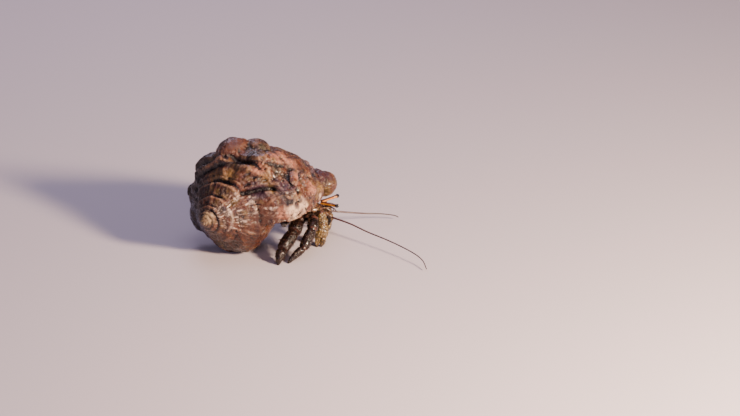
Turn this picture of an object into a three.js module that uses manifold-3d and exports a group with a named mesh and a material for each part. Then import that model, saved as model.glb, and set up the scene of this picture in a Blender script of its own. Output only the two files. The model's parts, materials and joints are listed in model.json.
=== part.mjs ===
// A thinstripe hermit crab walking in a worn rock shell, life size, in millimetres, +Z up.
// The crab heads towards +X. The dextral shell lies on its side with its apex back and to the
// right, its mouth faces down, and the crab reaches out from under the shell's outer lip.
//
// Points are given from a spot on the ground straight below the shell's apex, and the whole
// animal is moved at the end, so that the origin is under the middle of its bounding box.

import * as THREE from 'three';
import { mergeVertices } from 'three/addons/utils/BufferGeometryUtils.js';
import Module from 'manifold-3d';

const wasm = await Module();
wasm.setup();

// ---- driving dimensions -------------------------------------------------------------------

const ORIGIN = new THREE.Vector3(37.17, 27.55, 0); // middle of the footprint, from the apex spot
const GROUND_CUT = { reach: 120, depth: 20 }; // the block that levels what stands on the ground

// the shell: a spiral about its own axis, whose every turn is a scaled copy of the last
const APEX_HEIGHT = 16.73;                   // apex above the ground
const AXIS = new THREE.Vector3(0.613, 0.789, 0.033).normalize();
const LIP_RADIUS = 24;                       // widest radius of the last turn at the lip
const GROWTH_PER_TURN = 1.53;                // how much wider each turn is than the one before
const LIP_ANGLE = 112.13;                    // where growth stopped: 0 is up, 90 front right
const TURNS = 5;
const HALF_TURN_STEPS = [15, 15, 9, 8, 6, 6, 5, 5, 5, 5];
const HOLLOW_TURNS = { from: 0.12, to: -0.55, steps: 11 }; // where the hollow runs, in turns

// the section of one turn and of the hollow in it, as radius from the axis and distance along
// it, per unit radius; what lies between the two is the shell's wall
const SECTION = [
  [0.12, 0.60], [0.66, 0.62], [0.84, 0.74], [0.913, 0.841], [0.97, 0.92], [1.00, 1.08],
  [0.99, 1.25], [0.94, 1.46], [0.85, 1.70], [0.73, 1.95], [0.57, 2.20], [0.385, 2.42],
  [0.12, 2.58],
];
const HOLLOW = [
  [0.24, 0.90], [0.58, 0.76], [0.77, 0.88], [0.885, 1.03], [0.93, 1.20], [0.88, 1.43],
  [0.79, 1.66], [0.67, 1.89], [0.51, 2.12], [0.34, 2.30], [0.24, 2.26], [0.22, 1.50],
];

// shoulder knobs, spaced round each turn, that grow with the shell
const KNOB_SPACING = 40;                     // degrees
const KNOB_PHASE = -10;                      // one knob stands at this angle
const KNOB_HEIGHT = 0.115;                   // of the turn's radius
const KNOB_ALONG = 1.0;                      // where the row runs, along the section
const KNOB_REACH = 0.26;                     // how far a knob spreads along the section
const KNOBS_FADE = { worn: -0.75, full: -0.55 }; // turns between which they wear away
const KNOBS_LEFT = 0.45;                     // of their height, where they are worn

// a groove under the shoulder that gapes on the upper left and is worn away below
const GROOVE = {
  at: [0.913, 0.841],                        // the point of the section that sinks
  inward: [-0.81, 0.585],                    // the way it sinks
  width: 0.05,
  depth: 0.0908,
  deepest: -30,                              // degrees
  open: 40,                                  // degrees away from there, still full
  closed: 85,
};

// the solid core that joins the turns, as radius and distance along the axis
const CORE = {
  tip: [[0, 0.1], [0.35, 0.3], [0.606, 0.7], [0.606, 1.2]],   // per radius of the smallest turn
  root: [[0.13, 0.8], [0.15, 2.1], [0, 2.3]],             // per radius of the lip
};

// the lip is cut by one sloping plane through these three points of its edge
const LIP_PLANE = [[32.9, 3.3, 16.2], [40.6, 20.0, 15.3], [42.7, 33.5, 14.1]];
const LIP_CUT = { side: 90, depth: 40 };     // the block under that plane

// lumps of the worn shell that stand proud of the spiral
const LUMPS = [
  { at: [43.0, 41.2, 15.5], size: [5.0, 5.2, 4.7] },    // rounded end of the canal
  { at: [39.6, 39.0, 17.6], size: [5.0, 5.4, 4.4] },    // its root
  { at: [38.6, 28.6, 17.6], size: [4.6, 4.4, 4.2] },    // swelling behind the lip
  { at: [11.6, 20.0, 35.2], size: [6.6, 5.8, 6.4] },    // worn crown knob
  { at: [19.4, 21.6, 34.8], size: [5.4, 5.6, 5.6] },    // second crown knob
  { at: [-3.2, 27.2, 18.2], size: [2.6, 3.0, 2.4] },    // knob on the far side
  { at: [-0.6, 24.0, 11.0], size: [4.4, 5.0, 6.5] },    // swollen flank under it
  { at: [32.2, 13.0, 29.2], size: [2.0, 7.0, 2.4] },    // fold left by an older lip
];

// pits and troughs worn into it
const DENTS = [
  { at: [20.0, 3.0, 28.2], size: [5.2, 1.5, 1.1] },     // trough above the flank
  { at: [24.0, 8.6, 36.6], size: [4.6, 2.4, 1.2] },     // trough under the second crown knob
  { at: [34.6, 8.2, 26.0], size: [1.4, 1.9, 1.5] },     // hollow behind the fold
  { at: [37.1, 15.2, 25.6], size: [1.6, 1.7, 1.5] },    // pit near the canal's root
  { at: [38.4, 22.2, 26.2], size: [1.6, 1.8, 1.5] },    // pit on top of it
];

// the crab's trunk, as centre and half-sizes
const JOINT_GAP = 0.15;                      // between two plates, at each of their ends
const CLEARANCE_SCALE = 1.05;                // how a plate swells to cut its neighbour back
const CARAPACE = { at: [37.6, 32.0, 9.5], size: [5.0, 4.0, 2.6] };
const THORAX = { at: [37.2, 32.0, 6.1], size: [4.6, 3.6, 2.1] };
const ABDOMEN = [
  { at: [32.4, 28.4, 10.8], radius: 2.4 },
  { at: [32.0, 23.6, 14.8], radius: 3.9 },
  { at: [30.8, 20.4, 20.6], radius: 4.0 },
  { at: [26.9, 21.0, 26.6], radius: 3.6 },
  { at: [20.4, 24.4, 29.2], radius: 3.0 },
  { at: [14.4, 27.4, 27.4], radius: 2.3 },
  { at: [11.4, 29.6, 23.6], radius: 1.2 },
];

// stalked eyes and feelers: left is the far side, +Y
const EYESTALK_RADIUS = 0.46;
const EYESTALK_ROOT = 1.15;                  // how much thicker the stalk is at its root
const CORNEA_RADIUS = 0.78;
const CORNEA_SET = { stalk: 0.25, middle: 0.9 }; // cornea radii past the stalk's end
const EYES = {
  right: { base: [42.3, 31.2, 11.9], end: [47.4, 27.9, 12.2] },
  left: { base: [42.3, 32.8, 11.8], end: [47.5, 36.5, 12.3] },
};
const ANTENNULES = {
  right: [[42.9, 31.4, 10.4], [45.0, 30.6, 10.9], [46.8, 30.0, 10.2], [47.6, 29.8, 8.9]],
  left: [[42.9, 32.6, 10.4], [45.0, 33.4, 10.9], [46.7, 34.0, 10.3], [47.6, 34.3, 9.1]],
};
const ANTENNA_BASES = {
  right: [[42.2, 29.7, 9.1], [44.2, 29.3, 8.5], [46.0, 28.9, 7.4]],
  left: [[42.2, 34.3, 9.1], [44.0, 34.5, 8.5], [45.7, 34.7, 7.4]],
};
const ANTENNAE = {
  right: [
    [46.3, 28.8, 7.2], [52.7, 25.0, 6.3], [59.1, 20.0, 5.1], [65.6, 14.0, 4.7],
    [71.7, 8.0, 4.1], [76.2, 3.0, 3.4], [78.7, -0.5, 2.4], [79.9, -4.5, 1.0],
  ],
  left: [
    [46.0, 34.8, 7.2], [54.0, 37.0, 5.7], [59.1, 39.5, 4.4], [63.6, 41.5, 3.5],
    [68.5, 43.0, 2.3], [70.2, 43.5, 1.4],
  ],
};

// radii at the root and at the tip
const ANTENNULE_RADII = [0.34, 0.26];
const ANTENNA_BASE_RADII = [0.95, 0.6];
const ANTENNA_RADII = [0.45, 0.26];
const MAXILLIPED_RADII = [0.75, 0.45];
const HOLDING_LEG_RADII = [1.0, 0.54];
const FOURTH_RIGHT_RADII = [1.5, 0.8];       // the one that shows under the shell
const MAXILLIPEDS = {
  right: [[42.3, 30.6, 6.4], [44.3, 30.2, 6.9], [45.3, 30.4, 5.4], [44.9, 30.9, 3.6]],
  left: [[42.3, 33.4, 6.4], [44.3, 33.8, 6.9], [45.3, 33.6, 5.4], [44.9, 33.1, 3.6]],
};

// claws: joints from the trunk out to the fingertips, which stand on the ground
const CLAWS = {
  right: {
    joints: [[39.9, 28.6, 7.2], [42.3, 22.2, 11.4], [43.1, 20.0, 7.9], [41.3, 18.4, -0.2]],
    wide: [1, 0.1, 0],
    size: 1,
  },
  left: {
    joints: [[40.6, 35.5, 6.2], [43.4, 39.6, 8.2], [44.6, 37.6, 5.9], [43.6, 33.6, -0.2]],
    wide: [1, 0, 0],
    size: 0.94,
  },
};
const CLAW_WIDTHS = { merus: 3.2, carpus: 3.7, palm: 4.9 };
const CLAW_THICKNESS = 0.74;                 // of the width
const PALM_SHARE = 0.56;                     // of the hand's length
const FINGER = {
  fixedStart: 0.55,                          // of the palm's length
  rootApart: 0.24,                           // from the middle, of the palm's width
  tipApart: 0.15,
  width: 0.42,                               // of the palm's
  thickness: 0.9,                            // of its own width
};

// walking legs: hip, knee, ankle, claw joint and toe, which stands on the ground
const LEGS = {
  leg_front_right: [
    [37.4, 28.2, 6.4], [39.7, 17.0, 11.0], [39.3, 12.4, 9.3], [36.2, 6.9, 4.3], [30.4, 2.9, -0.3],
  ],
  leg_rear_right: [
    [33.8, 28.0, 6.4], [34.0, 16.8, 10.4], [32.8, 11.3, 8.7], [28.6, 5.0, 4.5], [27.0, 1.4, -0.3],
  ],
  leg_front_left: [
    [37.4, 35.8, 6.4], [37.2, 46.2, 10.2], [37.7, 51.0, 8.0], [38.0, 56.6, 3.6], [36.8, 59.5, -0.3],
  ],
  leg_rear_left: [
    [33.8, 36.0, 6.4], [31.6, 46.8, 10.2], [30.2, 51.8, 8.0], [27.4, 57.4, 3.8], [25.4, 59.2, -0.3],
  ],
};
const LEG_WIDTHS = { merus: 4.3, carpus: 4.3, propodus: 4.1, dactyl: 3.1 };
const LEG_BREADTH = { front: 1, rear: 1.25 }; // the rear pair is the stouter one
const LEG_THICKNESS = 0.9;                   // front to back, of the width

// the two pairs that hold the shell
const HOLDING_LEGS = {
  leg_fourth_right: [[31.2, 28.9, 7.4], [29.4, 25.4, 6.4], [28.8, 22.2, 7.0], [28.4, 20.6, 8.4]],
  leg_fourth_left: [[32.6, 34.6, 8.8], [33.8, 37.4, 11.4], [35.6, 39.4, 11.8]],
  leg_fifth_right: [[31.8, 31.2, 7.4], [28.8, 30.6, 8.2], [26.9, 29.4, 9.8]],
  leg_fifth_left: [[31.8, 33.6, 7.4], [29.4, 34.4, 8.8], [27.8, 34.0, 10.6]],
};

// outlines of one plate, as share of its length and of its half-width
const OUTLINES = {
  merus: [[0, 0], [0.02, 0.5], [0.15, 0.78], [0.5, 1], [0.86, 0.97], [0.98, 0.7], [1.02, 0]],
  carpus: [[-0.08, 0], [-0.06, 0.6], [0.12, 0.84], [0.6, 1], [0.92, 0.92], [1, 0.7], [1.03, 0]],
  propodus: [[-0.06, 0], [-0.04, 0.65], [0.12, 0.9], [0.5, 1], [0.9, 0.9], [0.98, 0.65], [1.02, 0]],
  dactyl: [[-0.05, 0], [-0.03, 0.65], [0.12, 0.95], [0.25, 1], [0.55, 0.8], [0.85, 0.42],
    [1, 0.16], [1.0, 0]],
  palm: [[0, 0], [0.05, 0.5], [0.25, 0.88], [0.6, 1], [0.9, 0.85], [1, 0]],
  clawCarpus: [[0, 0], [0.04, 0.55], [0.25, 0.85], [0.6, 1], [0.9, 0.8], [1, 0]],
  clawMerus: [[0, 0], [0.02, 0.5], [0.15, 0.78], [0.5, 1], [0.82, 0.96], [0.97, 0.6], [1, 0]],
  finger: [[0, 0], [0.04, 0.75], [0.2, 1], [0.55, 0.78], [0.85, 0.42], [1, 0.16], [1.0, 0]],
};

// ---- making solids ------------------------------------------------------------------------

const vec = (list) => new THREE.Vector3(...list);

// a closed solid from a row of rings with equal numbers of points, and its end faces
function ringsToGeometry(rings, capFaces) {
  const count = rings[0].length;
  const positions = [];
  const index = [];
  for (const ring of rings) {
    for (const point of ring) positions.push(point.x, point.y, point.z);
  }
  for (let row = 0; row + 1 < rings.length; row++) {
    for (let i = 0; i < count; i++) {
      const a = row * count + i;
      const b = row * count + ((i + 1) % count);
      index.push(a, b, b + count, a, b + count, a + count);
    }
  }
  const last = (rings.length - 1) * count;
  for (const [a, b, c] of capFaces) {
    index.push(c, b, a);
    index.push(last + a, last + b, last + c);
  }
  const geometry = new THREE.BufferGeometry();
  geometry.setAttribute('position', new THREE.Float32BufferAttribute(positions, 3));
  geometry.setIndex(index);
  return geometry;
}

function signedVolume(geometry) {
  const place = geometry.getAttribute('position');
  const index = geometry.index;
  const [a, b, c] = [new THREE.Vector3(), new THREE.Vector3(), new THREE.Vector3()];
  let sum = 0;
  for (let i = 0; i < index.count; i += 3) {
    a.fromBufferAttribute(place, index.getX(i));
    b.fromBufferAttribute(place, index.getX(i + 1));
    c.fromBufferAttribute(place, index.getX(i + 2));
    sum += a.dot(b.cross(c)) / 6;
  }
  return sum;
}

function toManifold(source) {
  let geometry = source.clone();
  geometry.deleteAttribute('normal');
  geometry.deleteAttribute('uv');
  geometry = mergeVertices(geometry, 1e-5);
  const triangles = Uint32Array.from(geometry.index.array);
  if (signedVolume(geometry) < 0) {
    for (let i = 0; i < triangles.length; i += 3) {
      [triangles[i + 1], triangles[i + 2]] = [triangles[i + 2], triangles[i + 1]];
    }
  }
  return new wasm.Manifold(new wasm.Mesh({
    numProp: 3,
    vertProperties: Float32Array.from(geometry.getAttribute('position').array),
    triVerts: triangles,
  }));
}

function fromManifold(solid) {
  const mesh = solid.getMesh();
  const geometry = new THREE.BufferGeometry();
  geometry.setAttribute('position', new THREE.BufferAttribute(mesh.vertProperties, 3));
  geometry.setIndex(new THREE.BufferAttribute(mesh.triVerts, 1));
  return geometry;
}

// cuts a solid back, so that it keeps clear of its neighbour
function clearOf(solid, neighbour) {
  const { min, max } = neighbour.boundingBox();
  const middle = min.map((low, i) => (low + max[i]) / 2);
  const swollen = neighbour.translate(middle.map((value) => -value))
    .scale(CLEARANCE_SCALE).translate(middle);
  return solid.subtract(swollen);
}

const join = (solids) => solids.reduce((whole, next) => whole.add(next));

function ellipsoid(at, size, around = 12, rows = 6) {
  const ball = new THREE.SphereGeometry(1, around, rows);
  ball.scale(...size);
  ball.translate(...at);
  return toManifold(ball);
}

function block(low, high) {
  const size = vec(high).sub(vec(low));
  const middle = vec(high).add(vec(low)).multiplyScalar(0.5);
  const box = new THREE.BoxGeometry(size.x, size.y, size.z);
  box.translate(middle.x, middle.y, middle.z);
  return toManifold(box);
}

const underGround = block(
  [-GROUND_CUT.reach, -GROUND_CUT.reach, -GROUND_CUT.depth],
  [GROUND_CUT.reach, GROUND_CUT.reach, 0]);

// ---- shell --------------------------------------------------------------------------------

const shellApex = new THREE.Vector3(0, 0, APEX_HEIGHT);
const shellRight = new THREE.Vector3().crossVectors(AXIS, new THREE.Vector3(0, 0, 1)).normalize();
const shellUp = new THREE.Vector3().crossVectors(shellRight, AXIS).normalize();

function shellPoint(radius, along, degrees) {
  const angle = THREE.MathUtils.degToRad(degrees);
  return shellApex.clone()
    .addScaledVector(AXIS, along)
    .addScaledVector(shellUp, radius * Math.cos(angle))
    .addScaledVector(shellRight, radius * Math.sin(angle));
}

const turnRadius = (turn) => LIP_RADIUS * GROWTH_PER_TURN ** turn;
const turnAngle = (turn) => LIP_ANGLE + 360 * turn;

const bell = (distance, width) => Math.exp(-((distance / width) ** 2));

function knobRise(along, turn) {
  const degrees = turnAngle(turn);
  const nearest = Math.round((degrees - KNOB_PHASE) / KNOB_SPACING) * KNOB_SPACING + KNOB_PHASE;
  const across = Math.cos(Math.PI * (degrees - nearest) / KNOB_SPACING) ** 2;
  const kept = THREE.MathUtils.smoothstep(turn, KNOBS_FADE.worn, KNOBS_FADE.full);
  const height = KNOB_HEIGHT * THREE.MathUtils.lerp(KNOBS_LEFT, 1, kept);
  return height * across * bell(along - KNOB_ALONG, KNOB_REACH);
}

// how wide the groove gapes at one place of the spiral, from 0 to 1
function grooveGape(turn) {
  const away = turnAngle(turn) - GROOVE.deepest;
  const round = Math.abs(away - 360 * Math.round(away / 360));
  return 1 - THREE.MathUtils.smoothstep(round, GROOVE.open, GROOVE.closed);
}

function sinkGroove([radius, along], gape) {
  const off = Math.hypot(radius - GROOVE.at[0], along - GROOVE.at[1]);
  const sunk = GROOVE.depth * gape * bell(off, GROOVE.width);
  return [radius + sunk * GROOVE.inward[0], along + sunk * GROOVE.inward[1]];
}

function turnSection(profile, turn, carved) {
  const size = turnRadius(turn);
  return profile.map((point) => {
    const [radius, along] = carved ? sinkGroove(point, grooveGape(turn)) : point;
    const rise = carved ? knobRise(point[1], turn) * Math.min(1, point[0]) : 0;
    return shellPoint(size * (radius + rise), size * along, turnAngle(turn));
  });
}

function capOf(profile) {
  return THREE.ShapeUtils.triangulateShape(profile.map(([x, y]) => new THREE.Vector2(x, y)), []);
}

function sweepTurn(profile, from, to, steps, carved) {
  const rings = [];
  for (let i = 0; i <= steps; i++) {
    rings.push(turnSection(profile, from + (to - from) * i / steps, carved));
  }
  const cap = capOf(carved ? profile.map((point) => sinkGroove(point, 1)) : profile);
  return toManifold(ringsToGeometry(rings, cap));
}

function lipCutter() {
  const [a, b, c] = LIP_PLANE.map(vec);
  const plane = new THREE.Plane().setFromCoplanarPoints(a, b, c);
  const down = plane.normal.clone().multiplyScalar(plane.normal.z > 0 ? -1 : 1);
  const box = new THREE.BoxGeometry(LIP_CUT.side, LIP_CUT.side, LIP_CUT.depth);
  box.translate(0, 0, LIP_CUT.depth / 2);
  const turn = new THREE.Quaternion().setFromUnitVectors(new THREE.Vector3(0, 0, 1), down);
  box.applyQuaternion(turn);
  box.translate(b.x, b.y, b.z);
  return toManifold(box);
}

// a plate of a limb: a lathed outline, squeezed and laid from one joint to the next
function plate(outline, from, to, width, thickness, wide, sides = 8) {
  const along = to.clone().sub(from);
  const length = along.length() - 2 * JOINT_GAP;
  along.normalize();
  const depth = new THREE.Vector3().crossVectors(along, wide).normalize();
  const across = new THREE.Vector3().crossVectors(depth, along).normalize();
  const profile = outline.map(([part, share]) => (
    new THREE.Vector2(share * width / 2, part * length)));
  const geometry = new THREE.LatheGeometry(profile, sides);
  geometry.scale(1, 1, thickness);
  const start = from.clone().addScaledVector(along, JOINT_GAP);
  geometry.applyMatrix4(new THREE.Matrix4().makeBasis(across, along, depth).setPosition(start));
  return toManifold(geometry);
}

function bentTube(stations, sides) {
  const curve = new THREE.CatmullRomCurve3(stations.map((station) => vec(station.at)));
  const rings = [];
  const steps = (stations.length - 1) * 3;
  for (let i = 0; i <= steps; i++) {
    const t = i / steps;
    const slot = Math.min(stations.length - 2, Math.floor(t * (stations.length - 1)));
    const part = t * (stations.length - 1) - slot;
    const radius = THREE.MathUtils.lerp(stations[slot].radius, stations[slot + 1].radius, part);
    const along = curve.getTangent(t);
    const side = new THREE.Vector3().crossVectors(along, new THREE.Vector3(0, 0, 1)).normalize();
    const up = new THREE.Vector3().crossVectors(side, along);
    const middle = curve.getPoint(t);
    const ring = [];
    for (let k = 0; k < sides; k++) {
      const angle = 2 * Math.PI * k / sides;
      ring.push(middle.clone()
        .addScaledVector(side, radius * Math.cos(angle))
        .addScaledVector(up, radius * Math.sin(angle)));
    }
    rings.push(ring);
  }
  const round = rings[0].map((_, k) => {
    const angle = 2 * Math.PI * k / sides;
    return [Math.cos(angle), Math.sin(angle)];
  });
  return toManifold(ringsToGeometry(rings, capOf(round)));
}

function makeCore() {
  const tip = turnRadius(-TURNS);
  const scaled = (points, size) => points.map(([x, y]) => new THREE.Vector2(x * size, y * size));
  const core = new THREE.LatheGeometry(
    [...scaled(CORE.tip, tip), ...scaled(CORE.root, LIP_RADIUS)], 12);
  core.applyQuaternion(new THREE.Quaternion().setFromUnitVectors(
    new THREE.Vector3(0, 1, 0), AXIS));
  core.translate(0, 0, APEX_HEIGHT);
  return toManifold(core);
}

function makeShell() {
  const hollow = sweepTurn(
    HOLLOW, HOLLOW_TURNS.from, HOLLOW_TURNS.to, HOLLOW_TURNS.steps, false);
  const [newest, second, ...older] = HALF_TURN_STEPS.map((steps, half) => (
    sweepTurn(SECTION, -half / 2, -(half + 1) / 2, steps, true)));
  const lastTurn = newest.subtract(lipCutter()).add(second).subtract(hollow);
  const parts = [lastTurn, ...older, makeCore()];
  for (const lump of LUMPS) parts.push(ellipsoid(lump.at, lump.size).subtract(hollow));
  const dents = DENTS.map((dent) => ellipsoid(dent.at, dent.size, 8, 6));
  return join(parts).subtract(join(dents)).subtract(underGround);
}

// ---- the crab -------------------------------------------------------------------------------

function taperedTube(points, [thick, thin], sides = 6) {
  const stations = points.map((at, i) => ({
    at,
    radius: THREE.MathUtils.lerp(thick, thin, i / (points.length - 1)),
  }));
  return bentTube(stations, sides);
}

// the upright direction across a leg, in the plane that the leg bends in
function legUpright(from, to) {
  const along = to.clone().sub(from).normalize();
  const level = new THREE.Vector3().crossVectors(along, new THREE.Vector3(0, 0, 1));
  return new THREE.Vector3().crossVectors(level, along).normalize();
}

function makeLeg(name, joints) {
  const points = joints.map(vec);
  const breadth = LEG_BREADTH[name.split('_')[1]];
  let inner = null;
  Object.entries(LEG_WIDTHS).forEach(([piece, width], i) => {
    const upright = legUpright(points[i], points[i + 1]);
    const whole = plate(
      OUTLINES[piece], points[i], points[i + 1], width * breadth, LEG_THICKNESS, upright);
    const solid = inner ? clearOf(whole, inner) : whole;
    addPart(`${name}_${piece}`, solid.subtract(underGround), 'leg');
    inner = whole;
  });
}

function makeClaw(side, { joints, wide, size }) {
  const [hip, knee, wrist, tip] = joints.map(vec);
  const across = vec(wide).normalize();
  const hand = tip.clone().sub(wrist);
  const palmEnd = wrist.clone().addScaledVector(hand, PALM_SHARE);
  const knuckle = wrist.clone().addScaledVector(hand, PALM_SHARE * FINGER.fixedStart);
  const width = CLAW_WIDTHS.palm * size;
  const finger = (sign) => plate(
    OUTLINES.finger,
    (sign > 0 ? palmEnd : knuckle).clone()
      .addScaledVector(across, sign * width * FINGER.rootApart),
    tip.clone().addScaledVector(across, sign * width * FINGER.tipApart),
    width * FINGER.width, FINGER.thickness, across);
  const armUpright = legUpright(hip, knee);
  const merus = plate(
    OUTLINES.clawMerus, hip, knee, CLAW_WIDTHS.merus * size, CLAW_THICKNESS, armUpright);
  const carpus = plate(
    OUTLINES.clawCarpus, knee, wrist, CLAW_WIDTHS.carpus * size, CLAW_THICKNESS, across);
  const palm = plate(OUTLINES.palm, wrist, palmEnd, width, CLAW_THICKNESS, across)
    .add(finger(-1)).subtract(underGround);
  addPart(`claw_${side}_merus`, merus, 'claw');
  addPart(`claw_${side}_carpus`, clearOf(carpus, merus), 'claw');
  addPart(`claw_${side}_palm`, palm, 'claw');
  addPart(`claw_${side}_finger`, finger(1).subtract(underGround), 'claw');
}

function makeEye(side, { base, end }) {
  const [root, tip] = [vec(base), vec(end)];
  const along = tip.clone().sub(root).normalize();
  const middle = tip.clone().addScaledVector(along, CORNEA_RADIUS * CORNEA_SET.middle);
  const reach = tip.clone().addScaledVector(along, CORNEA_RADIUS * CORNEA_SET.stalk);
  const stalk = taperedTube([root.toArray(), reach.toArray()],
    [EYESTALK_RADIUS * EYESTALK_ROOT, EYESTALK_RADIUS], 8);
  const cornea = ellipsoid(middle.toArray(), Array(3).fill(CORNEA_RADIUS), 8, 6);
  addPart(`eyestalk_${side}`, stalk.subtract(cornea), 'eyestalk');
  addPart(`eye_${side}`, cornea, 'eye');
}

// ---- the model ----------------------------------------------------------------------------

const FINISH = {
  shell: { color: 0x5b3a2a, roughness: 0.35, metalness: 0 },
  carapace: { color: 0x5a4632, roughness: 0.4, metalness: 0 },
  soft: { color: 0xa8735a, roughness: 0.6, metalness: 0 },
  leg: { color: 0x2a1a14, roughness: 0.3, metalness: 0 },
  claw: { color: 0x6b5424, roughness: 0.4, metalness: 0 },
  eyestalk: { color: 0xd9881c, roughness: 0.35, metalness: 0 },
  eye: { color: 0x08080a, roughness: 0.05, metalness: 0 },
  feeler: { color: 0x6a3a2c, roughness: 0.45, metalness: 0 },
};

const crab = new THREE.Group();
crab.position.copy(ORIGIN).negate();

function addPart(name, solid, finish) {
  const mesh = new THREE.Mesh(fromManifold(solid), new THREE.MeshStandardMaterial(FINISH[finish]));
  mesh.name = name;
  crab.add(mesh);
}

addPart('shell', makeShell(), 'shell');
const carapace = ellipsoid(CARAPACE.at, CARAPACE.size, 12, 8);
const thorax = ellipsoid(THORAX.at, THORAX.size, 12, 8);
addPart('carapace', carapace, 'carapace');
addPart('thorax', clearOf(thorax, carapace), 'soft');
addPart('abdomen', clearOf(clearOf(bentTube(ABDOMEN, 8), carapace), thorax), 'soft');
for (const side of ['right', 'left']) {
  makeEye(side, EYES[side]);
  addPart(`antennule_${side}`, taperedTube(ANTENNULES[side], ANTENNULE_RADII), 'feeler');
  addPart(`antenna_base_${side}`,
    taperedTube(ANTENNA_BASES[side], ANTENNA_BASE_RADII, 8), 'feeler');
  addPart(`antenna_${side}`, taperedTube(ANTENNAE[side], ANTENNA_RADII), 'feeler');
  addPart(`maxilliped_${side}`, taperedTube(MAXILLIPEDS[side], MAXILLIPED_RADII), 'leg');
  makeClaw(side, CLAWS[side]);
}
for (const [name, joints] of Object.entries(LEGS)) makeLeg(name, joints);
for (const [name, points] of Object.entries(HOLDING_LEGS)) {
  const radii = name === 'leg_fourth_right' ? FOURTH_RIGHT_RADII : HOLDING_LEG_RADII;
  addPart(name, taperedTube(points, radii, 8), 'soft');
}

export default crab;
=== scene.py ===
# %% [markdown]
# # A hermit crab in its worn shell
# The packed solids give every place and size. This lesson dresses them: a knobbed and
# weathered sea shell, and the crab that walks under it, with its plates, eyes, feelers
# and bristles. Everything is modelled in millimetres, measured from the spot of ground
# below the shell's apex, because small numbers near one are easy to read and edit-mode
# tools behave well there. A last step, `settle`, brings each piece into the frame's metres.

# %% Load the packed solids
import json
import math
import random

import bpy
import numpy as np
from mathutils import Matrix, Vector, noise

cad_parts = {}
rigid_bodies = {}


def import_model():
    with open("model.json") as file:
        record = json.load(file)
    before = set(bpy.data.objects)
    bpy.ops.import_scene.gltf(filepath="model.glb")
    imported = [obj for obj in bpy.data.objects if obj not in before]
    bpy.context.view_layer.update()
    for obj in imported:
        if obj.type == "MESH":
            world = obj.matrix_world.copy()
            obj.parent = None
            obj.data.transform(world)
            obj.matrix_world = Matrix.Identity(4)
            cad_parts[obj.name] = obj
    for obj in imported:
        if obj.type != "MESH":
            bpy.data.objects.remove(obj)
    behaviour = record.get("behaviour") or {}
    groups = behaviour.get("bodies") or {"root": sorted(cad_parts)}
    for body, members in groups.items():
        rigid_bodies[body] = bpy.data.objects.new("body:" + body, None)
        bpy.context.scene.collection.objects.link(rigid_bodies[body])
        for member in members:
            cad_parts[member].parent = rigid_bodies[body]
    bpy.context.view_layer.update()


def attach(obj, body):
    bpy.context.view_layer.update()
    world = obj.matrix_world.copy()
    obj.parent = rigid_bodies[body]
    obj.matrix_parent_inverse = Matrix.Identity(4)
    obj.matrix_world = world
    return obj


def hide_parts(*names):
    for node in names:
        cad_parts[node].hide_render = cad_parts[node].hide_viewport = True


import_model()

MM = 0.001
APEX_SPOT = Vector((-37.17, -27.55, 0.0))    # below the apex, in the frame, in millimetres
TO_FRAME = Matrix.Scale(MM, 4) @ Matrix.Translation(APEX_SPOT)

# %% [markdown]
# ## Camera
# A long lens that looks down a little shows so small an animal almost without
# perspective. The camera could be set by trial. Here it is placed by the angle it looks
# down and by the width of the view where the animal stands, because both can be
# measured, and with the chosen distance the width gives the focal length.

# %% Place the camera
PICTURE_WIDTH = 740                          # pixels
PIXEL = 0.36                                 # millimetres, where the animal stands
LOOK_DOWN = math.radians(22)
CAMERA_DISTANCE = 1500.0
SENSOR_WIDTH = 36.0
NEAREST_SEEN = 0.01                          # metres
AIM = Vector((59.9, 25.0, 12.42))            # the point in the middle of the view


def add_object(name, data):
    new = bpy.data.objects.new(name, data)
    bpy.context.scene.collection.objects.link(new)
    return new


camera_data = bpy.data.cameras.new("camera")
camera_data.sensor_width = SENSOR_WIDTH
camera_data.lens = SENSOR_WIDTH * CAMERA_DISTANCE / (PICTURE_WIDTH * PIXEL)
camera_data.clip_start = NEAREST_SEEN
camera = add_object("camera", camera_data)
away = Vector((0.0, -math.cos(LOOK_DOWN), math.sin(LOOK_DOWN)))
camera.location = TO_FRAME @ (AIM + away * CAMERA_DISTANCE)
camera.rotation_euler = (math.pi / 2 - LOOK_DOWN, 0.0, 0.0)
bpy.context.scene.camera = camera
print("camera", tuple(round(v, 3) for v in camera.location), "lens", round(camera_data.lens))

# %% [markdown]
# ## Floor and light
# The model stands on a plain pale floor. A wet shell is told by its highlights, so the key
# lamp is a fairly small warm panel, low and to the right as a late sun would be. Alone it
# would leave the shade black, so large dim panels in front, behind and above lift it,
# all a little violet, like an evening sky.

# %% Lay the floor and hang the lamps
FLOOR_SIZE = 6.0                             # metres
FLOOR_COLOUR = (0.54, 0.49, 0.55)
FLOOR_ROUGHNESS = 0.75
SKY_COLOUR = (0.82, 0.74, 0.94)
SKY_STRENGTH = 0.13
LAMPS = (
    # name, place and aim in millimetres, side in millimetres, watts, colour
    ("key", (380, -270, 210), (20, 20, 15), 70, 9.6, (1.0, 0.73, 0.52)),
    ("fill", (-60, -500, 240), (20, 20, 10), 260, 0.6, (0.80, 0.68, 1.0)),
    ("rim", (-60, 420, 360), (20, 20, 15), 200, 0.8, (0.84, 0.74, 1.0)),
    ("top", (40, 20, 600), (20, 20, 10), 400, 0.9, (0.94, 0.82, 1.0)),
)

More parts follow.
